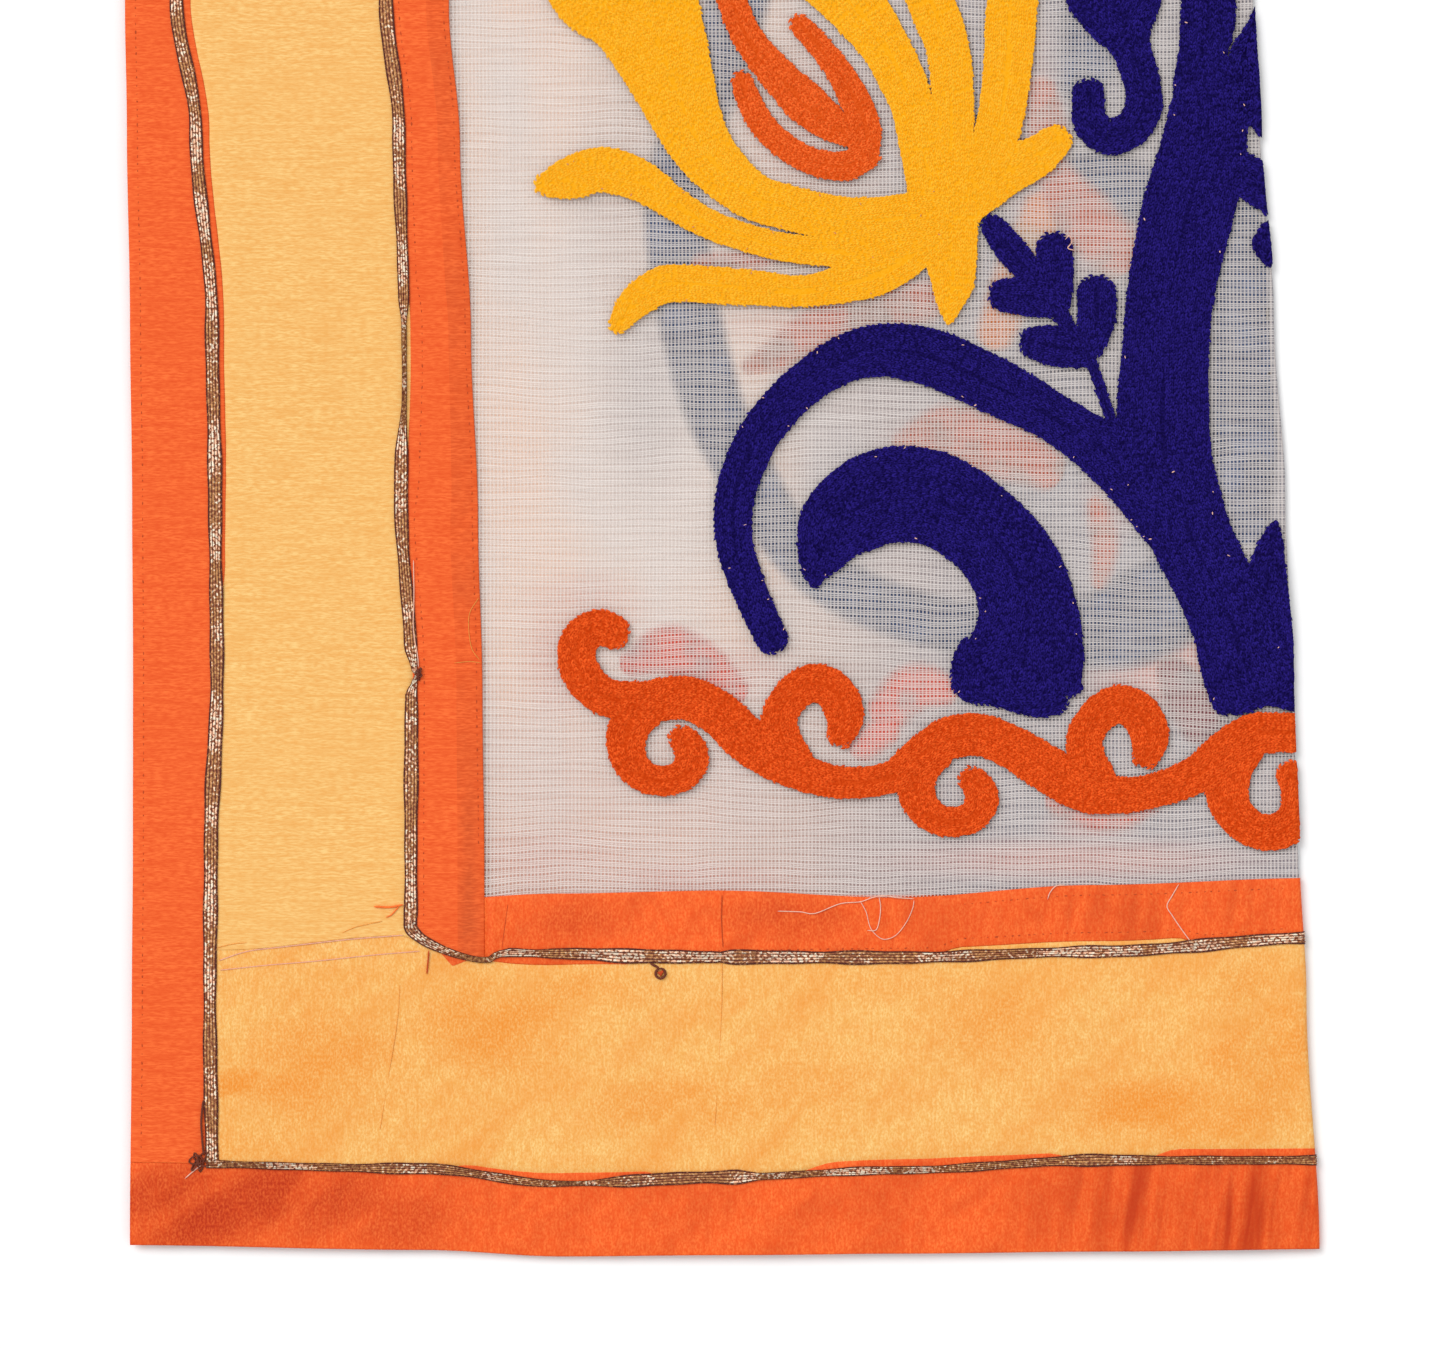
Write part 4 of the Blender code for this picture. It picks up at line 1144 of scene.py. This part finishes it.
def groundShape(strokes, far):
    # one flat shape from all the strokes, cut into patches
    points, faces = [], []
    for rows in strokes:
        line = smoothStroke(rows, wool["groundStep"])
        across = strokeAcross(line)[1] * np.maximum(line[:, 2:] / 2 - wool["groundInset"], 0.05)
        sides = np.stack([line[:, :2] + across, line[:, :2] - across], 1)
        sides[..., 0] = np.minimum(sides[..., 0], foldCentre(sides[..., 1]) + wool["wrapReach"])
        for (a, b), (c, e) in zip(sides, sides[1:]):
            for corners in ((a, b, e), (a, e, c)):
                (ax, ay), (bx, by), (cx, cy) = corners
                area = (bx - ax) * (cy - ay) - (by - ay) * (cx - ax)
                longest = max(math.dist(corners[k], corners[k - 1]) for k in range(3))
                if abs(area) > wool["thinnest"] * max(longest, 0.4):
                    start = len(points)
                    points += [Vector(p) for p in (corners if area > 0 else corners[::-1])]
                    faces.append([start, start + 1, start + 2])
    made, _, triangles, _, _, owners = delaunay_2d_cdt(points, [], faces, 1, 0.002, True)
    bm = bmesh.new()
    verts = [bm.verts.new((p.x, p.y, 0)) for p in made]
    for triangle, owner in zip(triangles, owners):
        if owner:
            bm.faces.new([verts[k] for k in triangle])
    bmesh.ops.delete(bm, geom=[v for v in bm.verts if not v.link_faces], context="VERTS")
    bmesh.ops.dissolve_limit(bm, angle_limit=math.radians(2), verts=bm.verts, edges=bm.edges)
    for axis, normal in ((0, (1, 0, 0)), (1, (0, 1, 0))):
        low, high = (pick(v.co[axis] for v in bm.verts) for pick in (min, max))
        count = int((high - low) / wool["groundCut"])
        for k in range(1, count + 1):
            place = [0, 0, 0]
            place[axis] = low + (high - low) * k / (count + 1)
            cutShape(bm, place, normal)
    # and close cuts along the fold, so the shape bends round it
    low, high = (pick(v.co.y for v in bm.verts) for pick in (min, max))
    lean = math.atan2(float(foldCentre(high) - foldCentre(low)), high - low)
    for beyond in wool["foldCuts"]:
        cutShape(bm, (float(foldCentre(low)) + beyond, low, 0), (math.cos(lean), -math.sin(lean), 0))
    bmesh.ops.triangulate(bm, faces=bm.faces)
    bmesh.ops.recalc_face_normals(bm, faces=bm.faces)
    if sum(face.normal.z for face in bm.faces) < 0:
        bmesh.ops.reverse_faces(bm, faces=bm.faces)
    flat = np.array([v.co[:2] for v in bm.verts])
    index = {v: k for k, v in enumerate(bm.verts)}
    corners = np.array([[index[v] for v in face.verts] for face in bm.faces])
    bm.free()
    return flat, corners[:, ::-1] if far else corners


def stitchSpots(strokes, chance):
    # rows of chain stitch follow each stroke's edges inwards: x, d and direction
    kept, taken = [], {}
    cell = wool["apart"]
    around = [(i, j) for i in (-1, 0, 1) for j in (-1, 0, 1)]
    for rows in strokes:
        line = smoothStroke(rows, wool["strokeStep"])
        across = strokeAcross(line)[1]
        half = line[:, 2] / 2 - wool["edgeInset"]
        depth = 0
        while depth * wool["rowGap"] < half.max():
            offset = half - depth * wool["rowGap"]
            for side in (1, -1):
                path = line[:, :2] + across * (side * offset)[:, None]
                run = np.gradient(path, axis=0)
                travel = travelAlong(path)
                steps = np.arange(0, travel[-1], wool["stitchStep"])
                for k in np.searchsorted(travel, steps):
                    if offset[k] < wool["narrowest"]:
                        continue
                    x, d = path[k]
                    column, row = int(x // cell), int(d // cell)
                    near = [p for i, j in around for p in taken.get((column + i, row + j), ())]
                    if any((x - p[0]) ** 2 + (d - p[1]) ** 2 < cell * cell for p in near):
                        continue
                    taken.setdefault((column, row), []).append((x, d))
                    kept.append((x, d, math.atan2(run[k, 1], run[k, 0])))
            depth += 1
    spots = np.array(kept)
    jitter = chance.normal(0, 1, (len(spots), 3))
    spots[:, :2] += jitter[:, :2] * wool["placeSpread"]
    spots[:, 2] += jitter[:, 2] * wool["turnSpread"]
    return spots


# one side of a loop: a low closed-topped grain, points then faces
grainPoints = np.array((
    (-0.5, 0, 0), (-0.2, 0.5, 0), (0.22, 0.46, 0), (0.5, 0, 0), (0.22, -0.46, 0), (-0.2, -0.5, 0),
    (-0.22, 0, 1), (0.2, 0, 0.92),
))
grainFaces = np.array((
    (0, 6, 1), (0, 5, 6), (1, 6, 7), (1, 7, 2), (5, 4, 7), (5, 7, 6), (3, 2, 7), (3, 7, 4),
))


def grains(x, d, angle, length, width, height, base):
    # many small grains at once, in the cut's coordinates
    cos, sin = np.cos(angle)[:, None], np.sin(angle)[:, None]
    alongIt = grainPoints[:, 0] * np.asarray(length)[..., None]
    acrossIt = grainPoints[:, 1] * np.asarray(width)[..., None]
    gridX = x[:, None] + alongIt * cos - acrossIt * sin
    gridD = d[:, None] + alongIt * sin + acrossIt * cos
    out = base + grainPoints[:, 2] * np.asarray(height)[..., None]
    faces = grainFaces[None, :, ::-1] + (np.arange(len(x)) * len(grainPoints))[:, None, None]
    return gridX.reshape(-1), gridD.reshape(-1), out.reshape(-1), faces.reshape(-1, 3)


def woolMotif(name, strokes, finish, slot, far, nodeName, chance):
    # a flat ground with two grains for each loop, larger and fewer at the far end
    flat, corners = groundShape(strokes, far)
    spots = stitchSpots(strokes, chance)
    if far:
        spots = spots[chance.random(len(spots)) < wool["farShare"]]
    grow = wool["farGrow"] if far else 1.0
    spots = spots[spots[:, 0] < foldCentre(spots[:, 1]) + wool["wrapReach"]]
    splay = math.radians(wool["splay"])
    sizes = chance.normal(1, wool["sizeSpread"], (len(spots), 2))
    xs, ds, outs, faces = [flat[:, 0]], [flat[:, 1]], [np.full(len(flat), wool["groundTop"])], [corners]
    loops = [np.full(len(flat), wool["groundPaintedShade"])]
    total = len(flat)
    for side in (1, -1):
        angle = spots[:, 2] + side * splay
        shift = wool["sideShift"] * grow
        x = spots[:, 0] - np.sin(spots[:, 2]) * side * shift
        d = spots[:, 1] + np.cos(spots[:, 2]) * side * shift
        gx, gd, go, gf = grains(x, d, angle, wool["stitchLength"] * grow * sizes[:, 0],
                                wool["stitchWidth"] * grow * sizes[:, 1],
                                wool["stitchHeight"] * sizes[:, 1], wool["groundTop"] - wool["stitchSink"])
        xs.append(gx)
        ds.append(gd)
        outs.append(go)
        # a random tone for each loop, painted lighter at its top and darker at its foot
        tones = chance.uniform(*wool["stitchTones"], (len(spots), 1))
        loops.append((tones * (0.3 + 0.7 * grainPoints[:, 2])).reshape(-1))
        faces.append((gf[:, ::-1] if far else gf) + total)
        total += len(gx)
    x, d, out = np.concatenate(xs), np.concatenate(ds), np.concatenate(outs)
    if far:
        d = cloth["length"] - d
    mesh = meshFrom(name, layCloth(x, d, thinAtFold(x, d, out)), np.concatenate(faces).tolist())
    addShares(mesh, "loop", np.concatenate(loops))
    return newPiece(name, mesh, (finish,), slot, [nodeName])


chance = np.random.default_rng(8)
motifs = (
    ("Lotus", lotus, yellowWool, "yellow_wool", "lotus"),
    ("LotusHeart", lotusHeart, heartWool, "orange_wool", "lotus_heart"),
    ("Stem", stem, blueWool, "blue_wool", "stem"),
    ("BroadLeaf", broadLeaf, blueWool, "blue_wool", "broad_leaf"),
    ("HookLeaf", hookLeaf, blueWool, "blue_wool", "hook_leaf"),
    ("Vine", vine, orangeWool, "orange_wool", "vine"),
)
for end in ("near", "far"):
    for title, strokes, finish, slot, nodeName in motifs:
        motif = woolMotif(f"{end}{title}", strokes, finish, slot, end == "far", f"{end}_{nodeName}", chance)
        print(f"{end} {nodeName}:", len(motif.data.polygons), "faces")

# Sewing that shows: lockstitch, hand seams, knots and loose ends
sewing = {
    "stitchPitch": 3.1,
    "stitchLength": 1.5,
    "stitchWidth": 0.6,
    "stitchHeight": 0.18,
    "placeSpread": 0.3,      # along the line, in mm
    "turnSpread": 0.12,
    "lengthSpread": (0.5, 1.2),
    "widthSpread": (0.5, 1.1),
    "threadSides": 6,
    "threadStep": 0.7,
    "fibreLength": (0.6, 1.5),
    "fibreWidth": (0.3, 0.5),
    "fibreInset": (0.4, 3.0),
    "fibreLevel": 1.05,      # just over the wool's ground
}


def onSilk(x, d, fromEdge):
    # the silk's upper face at a point away from its folded edges
    return silkOut(x, d, np.asarray(fromEdge, float))


def stitchLine(name, x, d, finish, slot, fromEdge):
    # short stitches along a line, sunk a little in the cloth
    travel = travelAlong(np.stack([x, d], -1))
    at = np.arange(1.0, travel[-1] - 1, sewing["stitchPitch"])
    at = at + chance.normal(0, sewing["placeSpread"], len(at))
    px, pd = np.interp(at, travel, x), np.interp(at, travel, d)
    way = np.stack([np.interp(at + 1, travel, x) - px, np.interp(at + 1, travel, d) - pd], -1)
    angle = np.arctan2(way[:, 1], way[:, 0]) + chance.normal(0, sewing["turnSpread"], len(at))
    length = sewing["stitchLength"] * chance.uniform(*sewing["lengthSpread"], len(at))
    width = sewing["stitchWidth"] * chance.uniform(*sewing["widthSpread"], len(at))
    gx, gd, _, faces = grains(px, pd, angle, length, width, width, 0)
    base = np.repeat(onSilk(px, pd, fromEdge), len(grainPoints)).reshape(len(at), -1)
    out = base + grainPoints[:, 2] * sewing["stitchHeight"] - 0.02
    mesh = meshFrom(name, layCloth(gx, gd, out.reshape(-1)), faces.tolist())
    return newPiece(name, mesh, (finish,), slot)


def thread(name, rows, radius, finish, slot):
    # a fine thread through rows of x, d and height over the cloth
    line = smoothStroke(rows, sewing["threadStep"], capped=False)
    _, across = strokeAcross(line)
    turns = np.arange(sewing["threadSides"] + 1) * math.tau / sewing["threadSides"]
    fromTip = np.minimum(np.arange(len(line)), np.arange(len(line))[::-1])
    taper = np.minimum(1, 0.25 + fromTip * 0.5) * radius
    side = np.cos(turns)[:, None] * taper
    x = line[:, 0] + across[:, 0] * side
    d = line[:, 1] + across[:, 1] * side
    out = line[:, 2] + radius - np.sin(turns)[:, None] * taper + creaseRelief(line[:, 0], line[:, 1])
    return newPiece(name, gridMesh(name, x, d, out), (finish,), slot)


def knot(name, x, d, reachX, reachD, height, turns, radius, finish, slot):
    # a tangle of one thread round a point
    t = np.linspace(0, math.tau, turns * 12)
    rows = np.stack([
        x + reachX * np.cos(t * (turns - 1) + 0.6) * (0.55 + 0.45 * np.sin(3 * t)),
        d + reachD * np.sin(t * turns) * (0.6 + 0.4 * np.cos(2 * t + 1)),
        height * (0.5 + 0.5 * np.sin(t * (turns + 2))),
    ], -1)
    return thread(name, [tuple(row) for row in rows], radius, finish, slot)


def strayFibres(name, strokes, count, finish, slot, far):
    # short ends of net thread that show between the loops near a motif's edge
    lines = [smoothStroke(rows, 1.0) for rows in strokes]
    picked = []
    for line in (lines[k] for k in chance.integers(0, len(lines), count)):
        k = chance.integers(2, len(line) - 2)
        side = chance.choice((-1, 1)) * max(line[k, 2] / 2 - chance.uniform(*sewing["fibreInset"]), 0.5)
        picked.append(line[k, :2] + strokeAcross(line)[1][k] * side)
    x, d = np.array(picked).T
    kept = x < foldCentre(d) - 3
    x, d = x[kept], d[kept]
    length = chance.uniform(*sewing["fibreLength"], len(x))
    width = chance.uniform(*sewing["fibreWidth"], len(x))
    angle = chance.uniform(0, math.pi, len(x))
    gx, gd, out, faces = grains(x, d, angle, length, width, width * 0.4, sewing["fibreLevel"])
    faces = (faces[:, ::-1] if far else faces).tolist()
    mesh = meshFrom(name, layCloth(gx, cloth["length"] - gd if far else gd, out), faces)
    return newPiece(name, mesh, (finish,), slot)


for end in ("near", "far"):
    for title, strokes, count, finish, slot in (
        ("StemFibres", stem[:2] + broadLeaf[:1], 60, paleThread, "blue_wool"),
        ("LotusFibres", lotus[:3], 24, tanThread, "yellow_wool"),
    ):
        strayFibres(f"{end}{title}", strokes, count, finish, slot, end == "far")

# the same work on the under half, blurred by the net and by its own fuzz
underWork = {
    "level": 1.0,            # mm above the table
    "layerStep": 0.02,
    "step": 1.5,
    "grow": 5.0,             # mm that a band is wider than its stroke
    "fade": 5.5,             # mm over which its edge fades out
}


def underMotif(name, strokes, finish, slot, far):
    # flat bands whose attribute softness runs from 0 at the edge to 1 inside
    shares = np.array((-1, -0.86, -0.7, -0.5, -0.25, 0, 0.25, 0.5, 0.7, 0.86, 1))
    points, faces, softness = [], [], []
    total = 0
    for k, rows in enumerate(strokes):
        line = smoothStroke([(x, d, width + underWork["grow"]) for x, d, width in rows], underWork["step"])
        half = line[:, 2] / 2
        across = strokeAcross(line)[1] * half[:, None]
        flat = line[:, None, :2] + across[:, None] * shares[None, :, None]
        x, d = flat[..., 0], flat[..., 1]
        inside = np.clip(half[:, None] * (1 - np.abs(shares)) / underWork["fade"], 0, 1)
        softness.append(eased(inside).reshape(-1))
        x = np.minimum(x, foldCentre(d) - 1)
        if far:
            d = cloth["length"] - d
        height = np.full(x.shape, underWork["level"] + k * underWork["layerStep"])
        points.append(np.stack([x, d - cloth["length"] / 2, height], -1).reshape(-1, 3) / 1000)
        quads = gridFaces(x.shape, total)
        faces.append(quads if far else quads[:, ::-1])
        total += x.size
    mesh = meshFrom(name, np.concatenate(points), np.concatenate(faces).tolist())
    addShares(mesh, "softness", np.concatenate(softness))
    return newPiece(name, mesh, (finish,), slot)


for end in ("near", "far"):
    for title, strokes, finish, slot in (
        ("UnderArc", backArc, blueUnder, "blue_wool"),
        ("UnderPetals", backPetals, petalUnder, "orange_wool"),
        ("UnderVine", backVine, redUnder, "orange_wool"),
        ("UnderDim", backDim, dimUnder, "orange_wool"),
        ("UnderGold", backGold, goldUnder, "yellow_wool"),
    ):
        underMotif(f"{end}{title}", strokes, finish, slot, end == "far")
print("wool made")

# lockstitch along the side strips' edges, then across the ends
lengthwise = np.arange(40.0, cloth["length"] - 40, 2.0)
for title, column, start, shift, finish, strip in (
    ("hemStitches", cutEdge, 24, 4.2, orangeThread, "frontSideOuterStrip"),
    ("seamStitches", innerSeam, 128, 4.6, orangeThread, "frontSideInnerStrip"),
    ("netStitches", netEdge, 160, -2.4, stitchFinish, "frontSideInnerStrip"),
):
    d = lengthwise[(lengthwise > start) & (lengthwise < cloth["length"] - start)]
    sewOn(strip, stitchLine(title, seamX(column, d) + shift, d, finish, "orange_silk", abs(shift)))
seamAcross = np.arange(-92.0, 228.0, 1.0)
netAcross = np.arange(96.0, 228.0, 1.0)
for end in ("near", "far"):
    for title, x, d, fromEdge in (
        ("SeamStitches", seamAcross, seamD(innerCross, seamAcross) + 3.4, 3.4),
        ("NetStitches", netAcross, endLine(netCross, netAcross) - 4.0, 4.0),
    ):
        d = cloth["length"] - d if end == "far" else d
        sewOn(f"{end}InnerStrip", stitchLine(f"{end}{title}", x, d, stitchFinish, "orange_silk", fromEdge))

# seams, loose ends and knots: radius, finish, slot, then x, d and height over the cloth
seamRows = (
    ("nearSeamUpper", 0.2, seamThread, "yellow_silk", (
        (-201.5, 115.8, 0), (-190, 119.5, 0), (-176.5, 121.2, 0), (-150, 124.2, 0), (-127.5, 126, 0),
    )),
    ("nearSeamLower", 0.18, seamThread, "yellow_silk", (
        (-201, 112, 0), (-182, 114, 0), (-163, 115.6, 0), (-140, 118, 0), (-121, 119.6, 0),
    )),
    # painted shade: deeper yellow lines laid along the seam's folds and the pressed creases
    ("nearSeamShade", 0.14, creaseShadeThread, "yellow_silk", (
        (-202, 121, 0), (-196, 122.4, 0), (-190, 123, 0),
    )),
    ("nearSeamFoldShade", 0.14, creaseShadeThread, "yellow_silk", (
        (-152, 127, 0), (-146, 129.4, 0), (-136, 131.6, 0),
    )),
    ("nearPressedShadeLeft", 0.12, creaseShadeThread, "yellow_silk", (
        (-129, 106, 0.05), (-130, 92, 0.05), (-133.5, 70, 0.05), (-137, 48, 0.05),
    )),
    ("nearPressedShadeMiddle", 0.12, creaseShadeThread, "yellow_silk", (
        (0, 115, 0.05), (-0.4, 96, 0.05), (-1.6, 72, 0.05), (-3, 50, 0.05),
    )),
    ("nearRibbonTwist", 0.4, knotFinish, "gota", (
        (-207.6, 60, 0.2), (-208.4, 52, 0.3), (-208, 44, 0.4), (-207.4, 38, 0.4),
    )),
    ("nearJoin", 0.22, orangeThread, "orange_silk", ((-0.2, 142, -0.1), (-0.4, 132, -0.1), (0.2, 121, -0.1))),
    ("nearOrangeEnd", 0.3, orangeThread, "orange_silk", (
        (-117.4, 120, 0.3), (-117.6, 117, 0.2), (-118, 113, 0.1), (-118.2, 110.4, 0.1),
    )),
    ("nearCrossSeam", 0.14, stitchFinish, "orange_silk", (
        (-85.8, 138.4, -0.05), (-87, 130, -0.05), (-88.2, 121, -0.05),
    )),
    ("nearOrangeTail", 0.4, brightOrangeThread, "orange_silk", (
        (-127.6, 138.2, 0.1), (-133, 137.2, 0.1), (-139.4, 137.4, 0.1),
    )),
    ("nearOrangeBranch", 0.24, brightOrangeThread, "orange_silk", (
        (-129, 138, 0.1), (-132, 134.5, 0.1), (-134.6, 133, 0.1),
    )),
    ("nearPaleLong", 0.2, paleThread, "net", (
        (22, 135.6, 0.1), (31, 135.3, 0.1), (37, 134.7, 0.2), (47, 138.5, 0.1), (55, 139.3, 0.2),
        (60, 141, 0.3), (64.6, 141.7, 0.4), (69.4, 141, 0.3), (76.6, 140.5, 0.2),
    )),
    ("nearPaleLoop", 0.17, paleThread, "net", (
        (55, 139.7, 0.2), (57.4, 135.3, 0.1), (59, 129.3, 0.1), (61.8, 125.7, 0.2), (65, 124.3, 0.2),
        (69.4, 126, 0.2), (73.4, 130.9, 0.1), (76, 136.5, 0.1), (76.6, 140, 0.2),
    )),
    ("nearPaleHook", 0.2, paleThread, "net", (
        (62.6, 141.3, 0.3), (63.2, 137.3, 0.1), (62.8, 132.5, 0.1), (61.4, 128.1, 0.1), (57.8, 127.9, 0.1),
    )),
    ("nearPaleTuft", 0.2, paleThread, "net", (
        (130, 140.2, 0.1), (131, 143, 0.1), (133.4, 145.6, 0.1), (137, 146, 0.2),
    )),
    ("nearPaleBent", 0.22, paleThread, "net", (
        (182.5, 146.4, 0.2), (180, 142, 0.1), (177.8, 137.6, 0.1), (180, 133.6, 0.1), (183.4, 128.5, 0.1),
        (187, 123.6, 0.2),
    )),
    ("nearSprigLoop", 0.2, paleThread, "net", (
        (137, 404, 1.1), (138.6, 405.6, 1.3), (139.6, 403, 1.2), (138, 400.6, 1.2), (141, 399.6, 1.2),
    )),
    ("nearKnotTail", 0.24, paleThread, "net", ((-208, 34.4, 0.5), (-211.6, 31.6, 0.2), (-215, 28.6, 0.1))),
    ("sidePale", 0.2, paleThread, "net", (
        (-123.6, 276, 0.5), (-123.4, 262, 0.5), (-123.6, 248, 0.4), (-122, 238, 0.4), (-121.6, 233, 0.4),
    )),
    ("sideHairArc", 0.13, hairThread, "yellow_silk", (
        (-97.5, 261, 0.1), (-101.4, 253.6, 0.1), (-100.6, 241.6, 0.1), (-97.2, 236, 0.1),
    )),
    ("sideHair", 0.13, hairThread, "yellow_silk", (
        (-96.5, 234.8, 0.1), (-101, 235.4, 0.1), (-107.5, 234.8, 0.1),
    )),
)
for title, radius, finish, slot, rows in seamRows:
    strip = "nearMiddleStrip" if slot == "yellow_silk" else "nearInnerStrip"
    if title.startswith("side"):
        strip = "frontSideMiddleStrip"
    sewOn(strip, thread(title, rows, radius, finish, slot))
ringTurn = np.linspace(1.9, 1.9 + math.tau, 14)
ringRows = [(-29, 114.6, 0.3), (-26.6, 113.6, 0.2)] + [
    (-24.8 + 2.0 * math.cos(t), 110.7 + 2.0 * math.sin(t), 0.1) for t in ringTurn
]
sewOn("nearMiddleStrip", thread("nearThreadRing", ringRows, 0.5, knotFinish, "gota"))
for title, strip, x, d, reachX, reachD, height, turns, radius, finish in (
    ("nearRingHeart", "nearMiddleStrip", -24.8, 110.7, 1.0, 1.0, 0.2, 3, 0.4, orangeThread),
    ("nearCornerKnot", "nearMiddleStrip", -209.4, 35.4, 4.0, 4.2, 0.9, 5, 0.32, knotFinish),
    ("sideKnot", "frontSideMiddleStrip", -121.6, 230.4, 1.4, 2.6, 0.9, 5, 0.34, knotFinish),
):
    sewOn(strip, knot(title, x, d, reachX, reachD, height, turns, radius, finish, "gota"))

# a corner of the inner orange strip sticks out below the ribbon
tabCorners = np.array(((-113, 119.2), (-99, 117.0), (-108, 113.6)))
tabAcross, tabDown = np.meshgrid(np.linspace(0, 1, 7), np.linspace(0, 0.95, 7))
tabShares = np.stack([(1 - tabAcross) * (1 - tabDown), tabAcross * (1 - tabDown), tabDown], -1)
tabX, tabD = np.moveaxis(tabShares @ tabCorners, -1, 0)
tabMesh = gridMesh("nearOrangeTab", tabX, tabD, onSilk(tabX, tabD, 6.0) + 0.12)
sewOn("nearInnerStrip", newPiece("nearOrangeTab", tabMesh, (orangeEndSilk,), "orange_silk"))

print("sewing made")

# Table, light and camera
studio = {
    "photoWidth": 0.578,     # metres of cloth across the photograph
    "photoMiddle": -0.9198,  # along the cloth
    "eyeHeight": 2.2,        # over the cloth's top
    "clothTop": 0.003,
    "sensor": 36.0,
    "tableSize": 7.0,
    "tableDrop": 0.0004,     # keeps it off the cloth's flat underside
    "keyStrength": 1.6,
    "keySpread": 34.0,       # degrees, for soft shadows
    "keyWay": (0.75, -0.65, -1.0),
    "worldStrength": 0.75,
}
tableMesh = bpy.data.meshes.new("table")
bm = bmesh.new()
bmesh.ops.create_grid(bm, x_segments=2, y_segments=2, size=studio["tableSize"] / 2)
bm.to_mesh(tableMesh)
bm.free()
table = placeInScene("table", tableMesh, (0, 0, -studio["tableDrop"]))
tableFinish, tableTree, tableShader = newFinish("White paper sweep", 0.9, specular=0.1)
cloud = between(tableTree, noiseAt(tableTree, (333.3, 333.3, 333.3)), 0.3, 0.7)
colourFrom(tableTree, tableShader, mixed(tableTree, cloud, "#FBFBFB", "#FEFEFE"))
tableMesh.materials.append(tableFinish)

world = bpy.data.worlds.new("Studio")
world.use_nodes = True
world.node_tree.nodes["Background"].inputs["Color"].default_value = (1, 1, 1, 1)
world.node_tree.nodes["Background"].inputs["Strength"].default_value = studio["worldStrength"]
bpy.context.scene.world = world

keyLight = bpy.data.lights.new("softKey", "SUN")
keyLight.energy = studio["keyStrength"]
keyLight.angle = math.radians(studio["keySpread"])
key = placeInScene("softKey", keyLight)
key.rotation_euler = Vector(studio["keyWay"]).to_track_quat("-Z", "Y").to_euler()

cameraData = bpy.data.cameras.new("camera")
cameraData.sensor_width = studio["sensor"]
cameraData.sensor_fit = "HORIZONTAL"
cameraData.lens = studio["sensor"] * studio["eyeHeight"] / studio["photoWidth"]
eye = (0, studio["photoMiddle"], studio["eyeHeight"] + studio["clothTop"])
camera = placeInScene("camera", cameraData, eye)
bpy.context.scene.camera = camera
bpy.context.scene.view_settings.view_transform = "Standard"
print("studio made")
